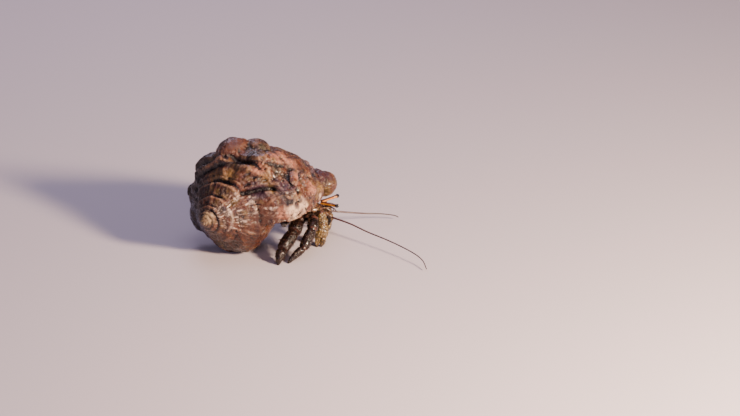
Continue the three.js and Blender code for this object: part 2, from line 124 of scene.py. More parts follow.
bpy.ops.object.select_all(action="DESELECT")
bpy.ops.mesh.primitive_plane_add(size=FLOOR_SIZE, location=(0, 0, 0))
floor = bpy.context.object
floor.name = "floor"
floor_paint = bpy.data.materials.new("floor")
floor_paint.use_nodes = True
floor_shader = floor_paint.node_tree.nodes["Principled BSDF"]
floor_shader.inputs["Base Color"].default_value = (*FLOOR_COLOUR, 1)
floor_shader.inputs["Roughness"].default_value = FLOOR_ROUGHNESS
floor.data.materials.append(floor_paint)

for name, spot, aim, side, watts, colour in LAMPS:
    lamp_data = bpy.data.lights.new(name, "AREA")
    lamp_data.size = side * MM
    lamp_data.energy = watts
    lamp_data.color = colour
    lamp = add_object(name, lamp_data)
    lamp.location = TO_FRAME @ Vector(spot)
    towards = TO_FRAME @ Vector(aim) - lamp.location
    lamp.rotation_euler = towards.to_track_quat("-Z", "Y").to_euler()

world = bpy.data.worlds.new("studio")
world.use_nodes = True
sky = world.node_tree.nodes["Background"]
sky.inputs["Color"].default_value = (*SKY_COLOUR, 1)
sky.inputs["Strength"].default_value = SKY_STRENGTH
bpy.context.scene.world = world
print("lamps:", [lamp[0] for lamp in LAMPS])

# %% [markdown]
# ## Small tools for working by hand
# Every new piece starts with nothing selected. An outline is drawn by pulling one point
# after another out of a collapsed plane, the way one would with the E key, and closed
# with a face. Overlapping closed shapes are melted into one skin by a voxel remesh, which
# leaves no seam, as Boolean unions of many parts often would.

# %% Picking, drawing, joining and melting
def clear_selection():
    if bpy.context.object and bpy.context.object.mode != "OBJECT":
        bpy.ops.object.mode_set(mode="OBJECT")
    bpy.ops.object.select_all(action="DESELECT")


def pick_only(*pieces):
    clear_selection()
    for piece in pieces:
        piece.select_set(True)
    bpy.context.view_layer.objects.active = pieces[0]


def draw_outline(name, points):
    """A flat closed outline with a face on it, left in edit mode with the face selected."""
    clear_selection()
    bpy.ops.mesh.primitive_plane_add(size=1)
    piece = bpy.context.object
    piece.name = name
    bpy.ops.object.mode_set(mode="EDIT")
    bpy.ops.mesh.select_all(action="SELECT")
    bpy.ops.mesh.merge(type="CENTER")
    bpy.ops.transform.translate(value=points[0])
    for before, after in zip(points, points[1:]):
        step = Vector(after) - Vector(before)
        bpy.ops.mesh.extrude_region_move(TRANSFORM_OT_translate={"value": step})
    bpy.ops.mesh.select_all(action="SELECT")
    bpy.ops.mesh.edge_face_add()
    return piece


def join_pieces(name, pieces):
    pick_only(*pieces)
    bpy.ops.object.join()
    pieces[0].name = name
    return pieces[0]


def remesh_whole(piece, voxel):
    """Melts overlapping closed shapes into one skin of even squares."""
    pick_only(piece)
    piece.data.remesh_voxel_size = voxel
    piece.data.remesh_voxel_adaptivity = 0
    bpy.ops.object.voxel_remesh()


def apply_modifier(piece, kind, **settings):
    pick_only(piece)
    modifier = piece.modifiers.new(kind.lower(), kind)
    for key, value in settings.items():
        setattr(modifier, key, value)
    bpy.ops.object.modifier_apply(modifier=modifier.name)


print("tools:", [tool.__name__ for tool in (draw_outline, join_pieces, remesh_whole)])

# %% [markdown]
# ## Moving many points at once
# Carving, wrinkles and grains move thousands of points by a formula. A sculpt brush needs
# a screen to work on, and Displace a texture for each of them, so the points are read as
# one array, moved and written back. Numbers kept on the points let the paints follow the
# same formulas. `settle` is the last step of every piece.

# %% Reading, moving and settling
def read_layer(layer, key, width, kind=np.float32):
    flat = np.empty(len(layer) * width, kind)
    layer.foreach_get(key, flat)
    return flat.reshape(-1, width)


def read_points(piece):
    return read_layer(piece.data.vertices, "co", 3).astype(float)


def read_normals(piece):
    return read_layer(piece.data.vertices, "normal", 3).astype(float)


def write_points(piece, points):
    piece.data.vertices.foreach_set("co", points.astype(np.float32).ravel())
    piece.data.update()


def push_out(piece, height):
    """Moves every point along its normal, outwards where its height is positive."""
    write_points(piece, read_points(piece) + read_normals(piece) * height[:, None])


def keep_above_floor(piece):
    points = read_points(piece)
    points[:, 2] = np.maximum(points[:, 2], 0.0)
    write_points(piece, points)


def keep_number(piece, name, values):
    """Stores one number for each point, for the paints to read."""
    layer = piece.data.attributes.get(name) or piece.data.attributes.new(name, "FLOAT", "POINT")
    layer.data.foreach_set("value", np.asarray(values, np.float32))


def read_number(piece, name):
    return read_layer(piece.data.attributes[name].data, "value", 1)[:, 0]


def count_triangles(piece):
    return sum(len(face.vertices) - 2 for face in piece.data.polygons)


def settle(piece, slot, paint, *nodes):
    """Brings a finished piece into the frame, paints it and lets it stand for its solids."""
    pick_only(piece)
    piece.data.transform(TO_FRAME)
    bpy.ops.object.shade_smooth()
    piece.data.materials.clear()
    piece.data.materials.append(paint.material)
    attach(piece, "root")
    if nodes:
        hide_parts(*nodes)
    print(f"{piece.name}: {count_triangles(piece)} triangles")


print("tools:", [tool.__name__ for tool in (push_out, keep_above_floor, keep_number, settle)])

# %% [markdown]
# ## The shell: one section, turned and scaled
# A snail enlarges its shell by adding to the lip, always in the same proportions. So the
# whole shell is one outline, swept round the axis, where every turn is a fixed amount
# larger than the one before. The outline is drawn once at the lip, and is extruded,
# turned and shrunk towards the apex, again and again. In the first half turn the outline
# is a thin wall round the hollow that the crab lives in. Past that it is solid.

# %% The shell's proportions
APEX_HEIGHT = 16.73
AXIS = Vector((0.613, 0.789, 0.033)).normalized()
LIP_RADIUS = 24.0
GROWTH_PER_TURN = 1.53
LIP_ANGLE = 112.13                           # degrees: 0 is up, 90 is the front right
TURNS = 7.5
MOUTH_DEPTH = 0.55                           # of a turn
STEPS_PER_TURN = 40
OUTER = (
    (0.66, 0.62), (0.84, 0.74), (0.913, 0.841), (0.97, 0.92), (1.00, 1.08), (0.99, 1.25),
    (0.94, 1.46), (0.85, 1.70), (0.73, 1.95), (0.57, 2.20), (0.385, 2.42), (0.20, 2.56),
    (0.12, 2.58),
)
INNER = (
    (0.12, 1.50), (0.22, 1.50), (0.24, 2.22), (0.34, 2.30), (0.51, 2.12), (0.67, 1.89),
    (0.79, 1.66), (0.88, 1.43), (0.93, 1.20), (0.885, 1.03), (0.77, 0.88), (0.58, 0.76),
    (0.50, 0.78), (0.50, 0.64),
)
CORE = ((0.12, 0.60),)
HOLLOW = (
    (0.24, 0.90), (0.58, 0.76), (0.77, 0.88), (0.885, 1.03), (0.93, 1.20), (0.88, 1.43),
    (0.79, 1.66), (0.67, 1.89), (0.51, 2.12), (0.34, 2.30), (0.24, 2.26), (0.22, 1.50),
)

shell_right = AXIS.cross(Vector((0, 0, 1))).normalized()
shell_up = shell_right.cross(AXIS).normalized()
SHELL_AXES = np.array((shell_up, shell_right, AXIS))
SHELL_PLACE = Matrix.Translation((0, 0, APEX_HEIGHT)) @ Matrix(
    (shell_up, shell_right, AXIS)).transposed().to_4x4()
print("axis", tuple(round(v, 3) for v in AXIS))

# %% [markdown]
# The Screw modifier turns a section but can't shrink it evenly, and Spin turns it round a
# circle. So each step is done by hand: extrude the section, turn it round the axis and
# shrink it towards the apex.

# %% Sweep the outline round the axis
def sweep_turns(name, outline, first, last):
    """Sweeps an outline from one turn number to another. The lip is 0, and -1 is a turn back."""
    scale = LIP_RADIUS * GROWTH_PER_TURN ** first
    points = [(radius * scale, 0, along * scale) for radius, along in outline]
    piece = draw_outline(name, points)
    start = math.radians(LIP_ANGLE + 360 * first)
    steps = max(2, round(abs(last - first) * STEPS_PER_TURN))
    turn = (last - first) / steps
    shrink = GROWTH_PER_TURN ** turn
    for _ in range(steps):
        bpy.ops.mesh.extrude_region_move()
        bpy.ops.transform.rotate(
            value=-math.tau * turn, orient_axis="Z", center_override=(0, 0, 0))
        bpy.ops.transform.resize(value=(shrink,) * 3, center_override=(0, 0, 0))
    bpy.ops.mesh.select_all(action="SELECT")
    bpy.ops.mesh.normals_make_consistent(inside=False)
    bpy.ops.transform.rotate(value=-start, orient_axis="Z", center_override=(0, 0, 0))
    bpy.ops.object.mode_set(mode="OBJECT")
    piece.data.transform(SHELL_PLACE)
    return piece


def scaled_ball(name, at, size):
    clear_selection()
    bpy.ops.mesh.primitive_uv_sphere_add(segments=32, ring_count=20, radius=1)
    ball = bpy.context.object
    ball.name = name
    bpy.ops.object.mode_set(mode="EDIT")
    bpy.ops.transform.resize(value=size)
    bpy.ops.transform.translate(value=at)
    bpy.ops.object.mode_set(mode="OBJECT")
    return ball


print("one turn back the radius is", round(LIP_RADIUS / GROWTH_PER_TURN, 1), "mm")

# %% [markdown]
# ## The shell's body
# The lip half turn is cut by the plane of the lip, with a fill over the cut wall. Knobs
# and swellings that stand clear of the spiral are scaled balls, and those that reach into
# the crab's room are hollowed by it. A pillar fills the middle, as the shell's own does.
# All of it then melts into one skin.

# %% Build the shell's body
LIP_PLANE = ((32.9, 3.3, 16.2), (40.6, 20.0, 15.3), (42.7, 33.5, 14.1))
ROOM_START = 0.12                            # of a turn in front of the lip, to cut clean
HOLLOWED_LUMPS = 4                           # these reach into the room, the rest don't
LUMPS = (
    ("canal end", (43.0, 41.2, 15.5), (5.0, 5.2, 4.7)),
    ("canal root", (39.6, 39.0, 17.6), (5.0, 5.4, 4.4)),
    ("swelling behind the lip", (38.6, 28.6, 17.6), (4.6, 4.4, 4.2)),
    ("fold of an older lip", (32.2, 13.0, 29.2), (2.0, 7.0, 2.4)),
    ("crown knob", (11.6, 20.0, 35.2), (6.6, 5.8, 6.4)),
    ("foot of the crown knob", (9.8, 16.8, 34.6), (4.6, 4.4, 4.4)),
    ("second crown knob", (19.4, 21.6, 34.8), (5.4, 5.6, 5.6)),
    ("far knob", (-3.2, 27.2, 18.2), (2.6, 3.0, 2.4)),
    ("swollen flank", (-0.6, 24.0, 11.0), (4.4, 5.0, 6.5)),
)
PILLAR_RADII = (0.3, 3.6)
PILLAR_LENGTH = 50.4
PILLAR_START = 1.2                           # along the axis, from the apex
SHELL_VOXEL = 0.37

lip_turn = sweep_turns("lip half turn", OUTER + INNER, 0.0, -0.5)
lip_points = [Vector(p) for p in LIP_PLANE]
lip_normal = (lip_points[1] - lip_points[0]).cross(lip_points[2] - lip_points[0]).normalized()
if lip_normal.z > 0:
    lip_normal.negate()
pick_only(lip_turn)
bpy.ops.object.mode_set(mode="EDIT")
bpy.ops.mesh.select_all(action="SELECT")
bpy.ops.mesh.bisect(
    plane_co=lip_points[0], plane_no=lip_normal, use_fill=True, clear_outer=True)
bpy.ops.object.mode_set(mode="OBJECT")
inner_turn = sweep_turns("inner wall", OUTER + INNER, -0.5, -MOUTH_DEPTH)
spire = sweep_turns("spire", CORE + OUTER, -MOUTH_DEPTH, -TURNS)

room = sweep_turns("room", HOLLOW, ROOM_START, -MOUTH_DEPTH)
lumps = [scaled_ball(name, at, size) for name, at, size in LUMPS]
for lump in lumps[:HOLLOWED_LUMPS]:
    apply_modifier(lump, "BOOLEAN", operation="DIFFERENCE", object=room, solver="EXACT")
pick_only(room)
bpy.ops.object.delete()

clear_selection()
bpy.ops.mesh.primitive_cone_add(
    vertices=24, radius1=PILLAR_RADII[0], radius2=PILLAR_RADII[1], depth=PILLAR_LENGTH)
pillar = bpy.context.object
pillar.data.transform(
    SHELL_PLACE @ Matrix.Translation((0, 0, PILLAR_LENGTH / 2 + PILLAR_START)))

shell = join_pieces("hermit_shell", [lip_turn, inner_turn, spire, pillar] + lumps)
remesh_whole(shell, SHELL_VOXEL)
print("shell body:", len(shell.data.vertices), "points")

# %% [markdown]
# ## Reading the spiral back
# Growth lines, cords and knobs all follow the spiral. So each point of the skin is given
# its place on it: the turn that it belongs to, and how far it is down the outline. The
# remesh has lost that, so every turn is tried, and the nearest one is kept.

# %% Find each point's place on the spiral
FAR = 1e9                                    # farther than anything


def place_on_spiral(points):
    local = (points - [0, 0, APEX_HEIGHT]) @ SHELL_AXES.T
    radius = np.hypot(local[:, 0], local[:, 1])
    angle = np.degrees(np.arctan2(local[:, 1], local[:, 0]))
    best = {"miss": np.full(len(points), FAR), "turn": np.zeros(len(points)),
            "down": np.zeros(len(points))}
    outline = np.array(OUTER)
    lengths = np.linalg.norm(np.diff(outline, axis=0), axis=1)
    for back in range(math.ceil(TURNS) + 1):
        turn = (angle - LIP_ANGLE) / 360 - back
        size = LIP_RADIUS * GROWTH_PER_TURN ** turn
        flat = np.stack((radius / size, local[:, 2] / size), axis=1)
        for i, (corner, length) in enumerate(zip(outline, lengths)):
            along = (outline[i + 1] - corner) / length
            share = np.clip((flat - corner) @ along, 0, length)
            miss = np.linalg.norm(flat - corner - share[:, None] * along, axis=1) * size
            miss = np.where(turn > 0.03, FAR, miss)
            nearer = miss < best["miss"]
            found = {"miss": miss, "turn": turn, "down": lengths[:i].sum() + share}
            best = {key: np.where(nearer, found[key], best[key]) for key in best}
    best["size"] = LIP_RADIUS * GROWTH_PER_TURN ** best["turn"]
    best["out"] = local * (1, 1, 0) / np.maximum(radius, 1e-6)[:, None] @ SHELL_AXES
    best["along"] = local[:, 2] / best["size"]
    return best


spiral = place_on_spiral(read_points(shell))
print("turns on the skin:", spiral["turn"].min().round(2), "to", spiral["turn"].max().round(2))

# %% [markdown]
# ## Soft edges, noise and strokes
# Nothing on a shell starts or ends sharply. `bell` is a bump that dies away on both
# sides, `fade` a smooth step, and a stroke is a bent line through a few places, as one
# pass of a carving tool would be.

# %% Shape the marks
def bell(distance, width):
    return np.exp(-(distance / width) ** 2)


def fade(value, none, full):
    """0 at one value and 1 at another, smoothly between."""
    share = np.clip((value - none) / (full - none), 0, 1)
    return share * share * (3 - 2 * share)


def noise_on(points, size, octaves=3, shift=0.0):
    return np.array([
        noise.fractal(Vector(p) / size + Vector((shift, 0, 0)), 1.0, 2.0, octaves)
        for p in points])


def distance_to_stroke(points, stroke):
    """Distance to a bent line through a few places, or to one place."""
    stroke = np.array(stroke, float)
    if len(stroke) == 1:
        return np.linalg.norm(points - stroke[0], axis=1)
    nearest = np.full(len(points), FAR)
    for start, end in zip(stroke, stroke[1:]):
        leg = end - start
        share = np.clip((points - start) @ leg / (leg @ leg), 0, 1)
        nearest = np.minimum(
            nearest, np.linalg.norm(points - start - share[:, None] * leg, axis=1))
    return nearest


print("half a stroke away a mark keeps", round(float(bell(0.5, 1)), 2), "of its depth")

# %% [markdown]
# ## Knobs
# The snail raised a row of knobs on its shoulder, one each time it paused, so they lie
# evenly round the turn. Balls would look stuck on, so the skin itself is pushed away
# from the axis. The sea has worn the knobs of the last turn, and the oldest, smallest
# turns never had any.

# %% Raise the knobs
KNOB_SPACING = 40.0                          # degrees
KNOB_PHASE = -10.0
KNOB_HEIGHT = 0.115                          # this and the next two in radii of the turn
KNOB_ALONG = 1.0
KNOB_REACH = 0.26
KNOBS_FADE = (-0.75, -0.55)                  # turns between which the knobs wear away
KNOBS_WORN = 0.45
PLAIN_SIZES = (1.5, 6.0)                     # radii between which turns gain knobs
SKIN_DEPTH = 1.6                             # millimetres off the spiral that still follow it

on_turn = bell(spiral["miss"], SKIN_DEPTH)
angle_now = LIP_ANGLE + 360 * spiral["turn"]
from_knob = (angle_now - KNOB_PHASE + KNOB_SPACING / 2) % KNOB_SPACING - KNOB_SPACING / 2
knob = KNOB_HEIGHT * np.cos(np.pi * from_knob / KNOB_SPACING) ** 2 * bell(
    spiral["along"] - KNOB_ALONG, KNOB_REACH)
knob *= KNOBS_WORN + (1 - KNOBS_WORN) * fade(spiral["turn"], *KNOBS_FADE)
knob *= fade(spiral["size"], *PLAIN_SIZES)
points = read_points(shell) + spiral["out"] * (knob * spiral["size"] * on_turn)[:, None]
write_points(shell, points)
print("knobs up to", (knob * spiral["size"]).max().round(2), "mm")

# %% [markdown]
# ## Groove, cords and growth lines
# A deep groove runs under the shoulder and gapes on one side. Fine cords run along the
# turn and growth lines across it, and both wander and fade in places, since an even
# pattern would look machined. On the smallest turns the seam between turns is cut deeper.

# %% Carve the lines of the spiral
GROOVE_DOWN = 0.34                           # down the outline, in radii of the turn
GROOVE_DEPTH = 0.085
GROOVE_WIDTH = 0.05
GROOVE_RIM = (0.10, 0.022)                   # how far above the groove, and how high
GROOVE_DEEPEST = -30.0                       # degrees, where the groove gapes
GROOVE_SHUT = (85, 40)                       # degrees from there, where it is shut and open
CORD_HEIGHT, CORD_SPACING, CORD_WANDER = 0.0060, 0.085, 2.6
CORD_BAND = (1.1, 0.9)                       # its middle and half width, down the outline
GROWTH_LINES = (
    # height, lines in a turn, how unevenly and how often they crowd, wander
    (0.0050, 61, 2.2, 91, 4.0), (0.0085, 19, 1.7, 37, 1.5),
)
SUTURE_TURNS = (-2.4, -3.0)                  # turns where the seam starts and is full
SUTURE_DEPTH, SUTURE_WIDTH = 0.09, 0.08

down, turn = spiral["down"], spiral["turn"]
from_deepest = np.abs((angle_now - GROOVE_DEEPEST + 180) % 360 - 180)
open_groove = 0.10 + 0.90 * fade(from_deepest, *GROOVE_SHUT)
groove = -GROOVE_DEPTH * bell(down - GROOVE_DOWN, GROOVE_WIDTH)
groove = open_groove * (
    groove + GROOVE_RIM[1] * bell(down - GROOVE_DOWN + GROOVE_RIM[0], GROOVE_WIDTH))
wander = noise_on(points, 8.0, 3, 60.0)
strength = 0.55 + 0.9 * np.clip(noise_on(points, 5.0, 2, 33.0) + 0.3, 0, 1)
cords = CORD_HEIGHT * np.sin(down * math.tau / CORD_SPACING + CORD_WANDER * wander)
cords *= bell(down - CORD_BAND[0], CORD_BAND[1])
lines = sum(
    height * np.sin(turn * math.tau * count + crowd * np.sin(turn * often) + far * wander)
    for height, count, crowd, often, far in GROWTH_LINES)
suture = SUTURE_DEPTH * bell(down, SUTURE_WIDTH) * fade(turn, *SUTURE_TURNS)
relief = groove + cords * strength + lines * (1.6 - strength) - suture
relief *= spiral["size"] * on_turn
# where the groove gapes it is kept for painted shade
crevice = 0.8 * open_groove * bell(down - GROOVE_DOWN, 0.04) * on_turn
print("lines", relief.min().round(2), "to", relief.max().round(2), "mm")

# %% [markdown]
# ## A long life in the surf
# The marks of this one shell come last: folds, hollows, chips and edges, each one stroke
# along a few places on the surface. Where a stroke cuts in, `crevice` keeps its place for
# the paint, which darkens it with painted shade. Noise adds the wear between them.

# %% Carve the strokes and the wear
STROKES = (
    # depth and width in millimetres, then the places that the stroke runs through
    (-0.9, 1.0, ((-3.2, 21.9, 23.8), (1.0, 16.4, 29.9), (5.9, 13.2, 33.8), (12.0, 11.4, 35.4),
                 (16.7, 10.2, 35.3))),
    (-1.5, 1.0, ((16.7, 10.2, 35.3), (21.0, 8.4, 36.3), (24.5, 8.8, 35.8), (28.9, 12.6, 33.7))),
    (-0.7, 0.8, ((-2.4, 17.9, 22.7), (-0.2, 13.9, 26.3), (4.0, 10.1, 29.1), (9.3, 7.6, 30.1))),
    (-1.5, 0.9, ((14.6, 3.9, 26.6), (18.8, 3.8, 27.4), (21.7, 3.8, 28.3), (25.4, 3.8, 28.6))),
    (-0.9, 0.7, ((25.4, 3.8, 28.6), (28.6, 3.4, 27.0), (30.0, 3.2, 25.8))),
    (0.9, 1.1, ((28.0, 17.5, 35.6), (32.6, 15.0, 31.0), (33.4, 8.0, 28.6), (33.0, 5.2, 26.6))),
    (-1.9, 1.3, ((34.3, 7.4, 26.0), (34.7, 9.3, 25.6))),
    (-1.5, 1.0, ((34.8, 17.4, 28.8), (35.2, 15.6, 27.8))),
    (-1.9, 1.3, ((37.1, 15.4, 25.5),)),
    (-1.8, 1.3, ((38.4, 22.4, 26.0),)),
    (-0.9, 1.2, ((40.0, 27.0, 24.8), (40.8, 33.0, 22.6))),
    (1.0, 1.8, ((38.3, 16.5, 22.1), (40.5, 23.5, 20.8))),
    (-1.0, 0.8, ((7.6, 13.4, 37.2), (9.0, 12.6, 36.6))),
    (-0.7, 0.8, ((22.6, 16.4, 38.6), (24.0, 11.6, 37.6))),
    (-0.9, 1.2, ((31.0, 2.4, 23.8), (32.4, 3.4, 23.4))),
    (-0.8, 0.7, ((7.6, 16.6, 37.9), (7.1, 16.2, 36.9), (7.6, 15.8, 35.9), (8.9, 14.9, 36.0))),
    (-0.7, 0.9, ((34.9, 6.6, 22.4),)),
    (0.7, 1.2, ((20.1, 6.0, 33.4), (24.5, 4.6, 31.0), (27.5, 4.4, 29.9))),
    (0.45, 0.4, ((9.8, 1.4, 21.4), (11.3, 1.2, 18.2), (10.9, 1.2, 15.4), (9.4, 1.4, 13.2))),
)
ROUGH_PATCHES = (((21.5, 5.5, 32.5), 4.5), ((34.0, 6.0, 22.5), 3.6), ((37.5, 18.0, 24.0), 4.0),
                 ((29.0, 8.0, 31.0), 4.0))

for depth, width, stroke in STROKES:
    away = distance_to_stroke(points, stroke)
    relief += depth * bell(away, width)
    if depth < 0:
        crevice = np.maximum(crevice, min(1, -depth) * bell(away, width * 0.85))
rough = noise_on(points, 3.2, 4)
pits = np.clip(noise_on(points, 1.3, 2, 40.0) - 0.25, 0, 1)
lumpy = noise_on(points, 8.0, 2, 80.0)
worn_patch = sum(bell(distance_to_stroke(points, [at]), width) for at, width in ROUGH_PATCHES)
wear = 0.30 * rough + 0.40 * lumpy - 0.60 * pits + worn_patch * (0.65 * rough - 0.9 * pits)
relief += wear * fade(spiral["size"], 0.5, 9.0)
push_out(shell, relief)
keep_above_floor(shell)
print("relief", relief.min().round(2), "to", relief.max().round(2), "mm")

# %% [markdown]
# ## Paint
# A paint is a few noises, mixed by ramps, so it covers every side alike and needs no
# image. Some read the piece's own numbers: where a point lies on the spiral, how deep it
# lies in a hollow, how much it is worn. This small paint box adds the nodes.

# %% A small paint box
class Paint:
    """A material whose nodes are added one call at a time. Places are in millimetres."""

    def __init__(self, name, **fixed):
        self.material = bpy.data.materials.new(name)
        self.material.use_nodes = True
        self.tree = self.material.node_tree
        self.shader = self.tree.nodes["Principled BSDF"]
        for socket, value in fixed.items():
            self.shader.inputs[socket.replace("_", " ")].default_value = value
        coordinates = self.add("ShaderNodeTexCoord")
        centred = self.add("ShaderNodeMapping")
        self.link(coordinates.outputs["Object"], centred.inputs["Vector"])
        centred.inputs["Scale"].default_value = (1 / MM,) * 3
        self.place = centred.outputs["Vector"]

    def add(self, kind, **settings):
        node = self.tree.nodes.new(kind)
        for key, value in settings.items():
            setattr(node, key, value)
        return node

    def link(self, source, socket):
        if isinstance(source, (int, float)):
            socket.default_value = source
        elif isinstance(source, tuple):
            socket.default_value = (*source, 1)[:len(socket.default_value)]
        else:
            self.tree.links.new(source, socket)

    def number(self, name):
        return self.add("ShaderNodeAttribute", attribute_name=name).outputs["Fac"]

    def math(self, operation, a, b=0.0):
        node = self.add("ShaderNodeMath", operation=operation)
        self.link(a, node.inputs[0])
        self.link(b, node.inputs[1])
        return node.outputs[0]

    def plus(self, a, b):
        return self.math("ADD", a, b)

    def times(self, a, b):
        return self.math("MULTIPLY", a, b)

    def vector(self, x, y, z):
        node = self.add("ShaderNodeCombineXYZ")
        for socket, value in zip(node.inputs, (x, y, z)):
            self.link(value, socket)
        return node.outputs[0]

    def noise(self, size, detail=4.0, rough=0.55, place=None):
        node = self.add("ShaderNodeTexNoise")
        self.link(place or self.place, node.inputs["Vector"])
        node.inputs["Scale"].default_value = 1 / size
        node.inputs["Detail"].default_value = detail
        node.inputs["Roughness"].default_value = rough
        return node.outputs["Fac"]

    def cells(self, size):
        node = self.add("ShaderNodeTexVoronoi")
        self.link(self.place, node.inputs["Vector"])
        node.inputs["Scale"].default_value = 1 / size
        return node.outputs["Distance"]

    def ramp(self, value, low, high, start=0.0, end=1.0):
        node = self.add("ShaderNodeMapRange", interpolation_type="SMOOTHSTEP")
        for socket, number in zip(node.inputs, (value, low, high, start, end)):
            self.link(number, socket)
        return node.outputs[0]

    def mix(self, share, first, second):
        node = self.add("ShaderNodeMix", data_type="RGBA")
        self.link(share, node.inputs[0])
        self.link(first, node.inputs[6])
        self.link(second, node.inputs[7])
        return node.outputs[2]

    def veil(self, colour, paint, value, low, high, most=1.0):
        """Lays a paint over a colour, from none where value is low to most where it is high."""
        return self.mix(self.ramp(value, low, high, 0.0, most), colour, paint)

    def finish(self, colour, roughness, height, depth):
        bump = self.add("ShaderNodeBump")
        bump.inputs["Distance"].default_value = depth * MM
        self.link(height, bump.inputs["Height"])
        self.link(bump.outputs[0], self.shader.inputs["Normal"])
        self.link(colour, self.shader.inputs["Base Color"])
        self.link(roughness, self.shader.inputs["Roughness"])


print("paint box:", [name for name in vars(Paint) if not name.startswith("_")])

# %% [markdown]
# ## What the shell's paint reads
# Hollows are darkened with painted shade and edges wear pale, so each point is compared
# with the smoothed surface around it, once closely and once broadly. Ambient occlusion
# nodes would give that shade only in some renderers. Growths and stains lie in patches,
# each a few ragged spots. Two small spots are painted highlights, and the side away from
# the key lamp gets painted shade.

# %% Where the patches lie
PATCHES = {
    # each spot's centre and width in millimetres
    "rusty": (((11.0, 15.0, 38.5), 4.2), ((13.0, 20.0, 41.0), 4.0)),
    "mossy": (((18.8, 12.5, 38.1), 3.0), ((14.0, 10.4, 35.6), 2.6), ((27.5, 8.6, 33.0), 2.0),
              ((22.0, 17.0, 38.8), 2.4)),
    # the smooth lower turn; its colour is made darker as painted shade
    "smooth": (((21.5, 2.4, 15.0), 4.6), ((24.5, 1.8, 19.0), 3.6), ((19.0, 4.6, 8.6), 5.0),
               ((12.0, 5.0, 6.6), 4.6), ((27.0, 2.4, 15.0), 3.4), ((5.0, 5.0, 8.6), 4.0)),
    "cream": (((0.6, 0.6, 17.0), 1.6), ((3.4, 1.0, 18.4), 1.6), ((1.8, 1.2, 19.6), 1.2)),
    "rosy": (((25.8, 14.4, 36.6), 2.6), ((31.0, 18.0, 33.0), 3.0), ((28.4, 19.5, 35.0), 2.6),
             ((20.6, 7.0, 34.4), 2.0), ((33.4, 11.0, 29.4), 2.0), ((39.0, 18.0, 22.8), 2.4),
             ((30.4, 3.0, 20.0), 2.6)),
    # the golden spot at (18.4, 16.6, 38.6) is a painted highlight, a glint on the crown
    "golden": (((23.0, 5.6, 32.2), 2.0), ((18.4, 16.6, 38.6), 1.0), ((10.4, 9.2, 31.6), 2.4),
               ((40.8, 23.6, 19.4), 2.6), ((39.4, 20.4, 21.4), 2.0), ((41.4, 28.0, 20.0), 2.6),
               ((5.0, 11.4, 30.0), 2.0)),
    "purple": (((29.3, 4.8, 28.8), 2.6), ((26.6, 5.6, 29.8), 1.8), ((31.6, 6.6, 27.6), 2.0),
               ((20.0, 3.8, 27.8), 3.0), ((40.0, 31.0, 23.0), 2.4), ((41.6, 38.4, 20.0), 3.6)),
    # white streaks of the near turn: pale growth lines that also carry painted wet highlights
    "streaks": (((11.4, 2.6, 23.4), 3.4), ((16.0, 1.6, 21.9), 3.2), ((8.0, 1.6, 18.6), 3.0),
                ((13.4, 1.2, 16.6), 4.2), ((25.0, 1.6, 21.2), 2.2), ((6.0, 2.0, 22.0), 2.6)),
    # the pale worn lip; its last two spots, on the crown, are painted highlights
    "white_lip": (((32.4, 3.4, 21.0), 2.6), ((35.6, 7.6, 20.2), 2.6), ((33.6, 4.8, 18.6), 2.4),
                  ((36.8, 10.4, 18.6), 2.0), ((41.4, 26.0, 16.6), 1.2), ((8.5, 15.5, 37.2), 0.6),
                  ((18.4, 16.6, 38.6), 0.5)),
    "lip_marks": (((30.9, 2.3, 23.6), 1.5), ((32.2, 3.2, 23.6), 1.2), ((34.0, 4.8, 21.9), 1.3),
                  ((35.1, 7.6, 22.2), 1.0)),
}


print("patches:", {name: len(spots) for name, spots in PATCHES.items()})


# %% Keep the shell's numbers
HOLLOW_ROUNDS = {"hollow": 12, "broad_hollow": 90}
# where the painted shade lies, on the side turned away from the key lamp
SHADED_SIDE = (0.12, 2.5, -3.5)              # how it slants, and where it starts and is full
WHITE_LINE = STROKES[-1][2]


def measure_hollows(piece, rounds):
    """How far each point lies below (+) or above (-) the mean of its neighbourhood."""
    points = read_points(piece)
    normals = read_normals(piece)
    first, second = read_layer(piece.data.edges, "vertices", 2, np.int32).T
    count = np.bincount(first, minlength=len(points)) + np.bincount(
        second, minlength=len(points))
    smooth = points.copy()
    for _ in range(rounds):
        total = np.stack([
            np.bincount(first, smooth[second, i], len(points))
            + np.bincount(second, smooth[first, i], len(points)) for i in range(3)], axis=1)
        smooth = total / np.maximum(count, 1)[:, None]
    return ((smooth - points) * normals).sum(axis=1)


points = read_points(shell)
kept = {
    "turn": spiral["turn"], "down": spiral["down"], "crevice": crevice,
    "suture": bell(spiral["down"], 0.09) * fade(spiral["turn"], *SUTURE_TURNS),
    "shaded": fade(points[:, 0] - SHADED_SIDE[0] * points[:, 1], *SHADED_SIDE[1:]),
    "white_line": bell(distance_to_stroke(points, WHITE_LINE), 0.38),
}
for name, rounds in HOLLOW_ROUNDS.items():
    kept[name] = measure_hollows(shell, rounds)
mottled = noise_on(points, 2.2, 3, 11.0)
for name, spots in PATCHES.items():
    away = np.min([np.linalg.norm(points - at, axis=1) / width for at, width in spots], axis=0)
    kept[name] = np.clip(1.5 - away + 0.60 * mottled, 0, 1)
for name, values in kept.items():
    keep_number(shell, name, values)
print("numbers on each point:", list(kept))
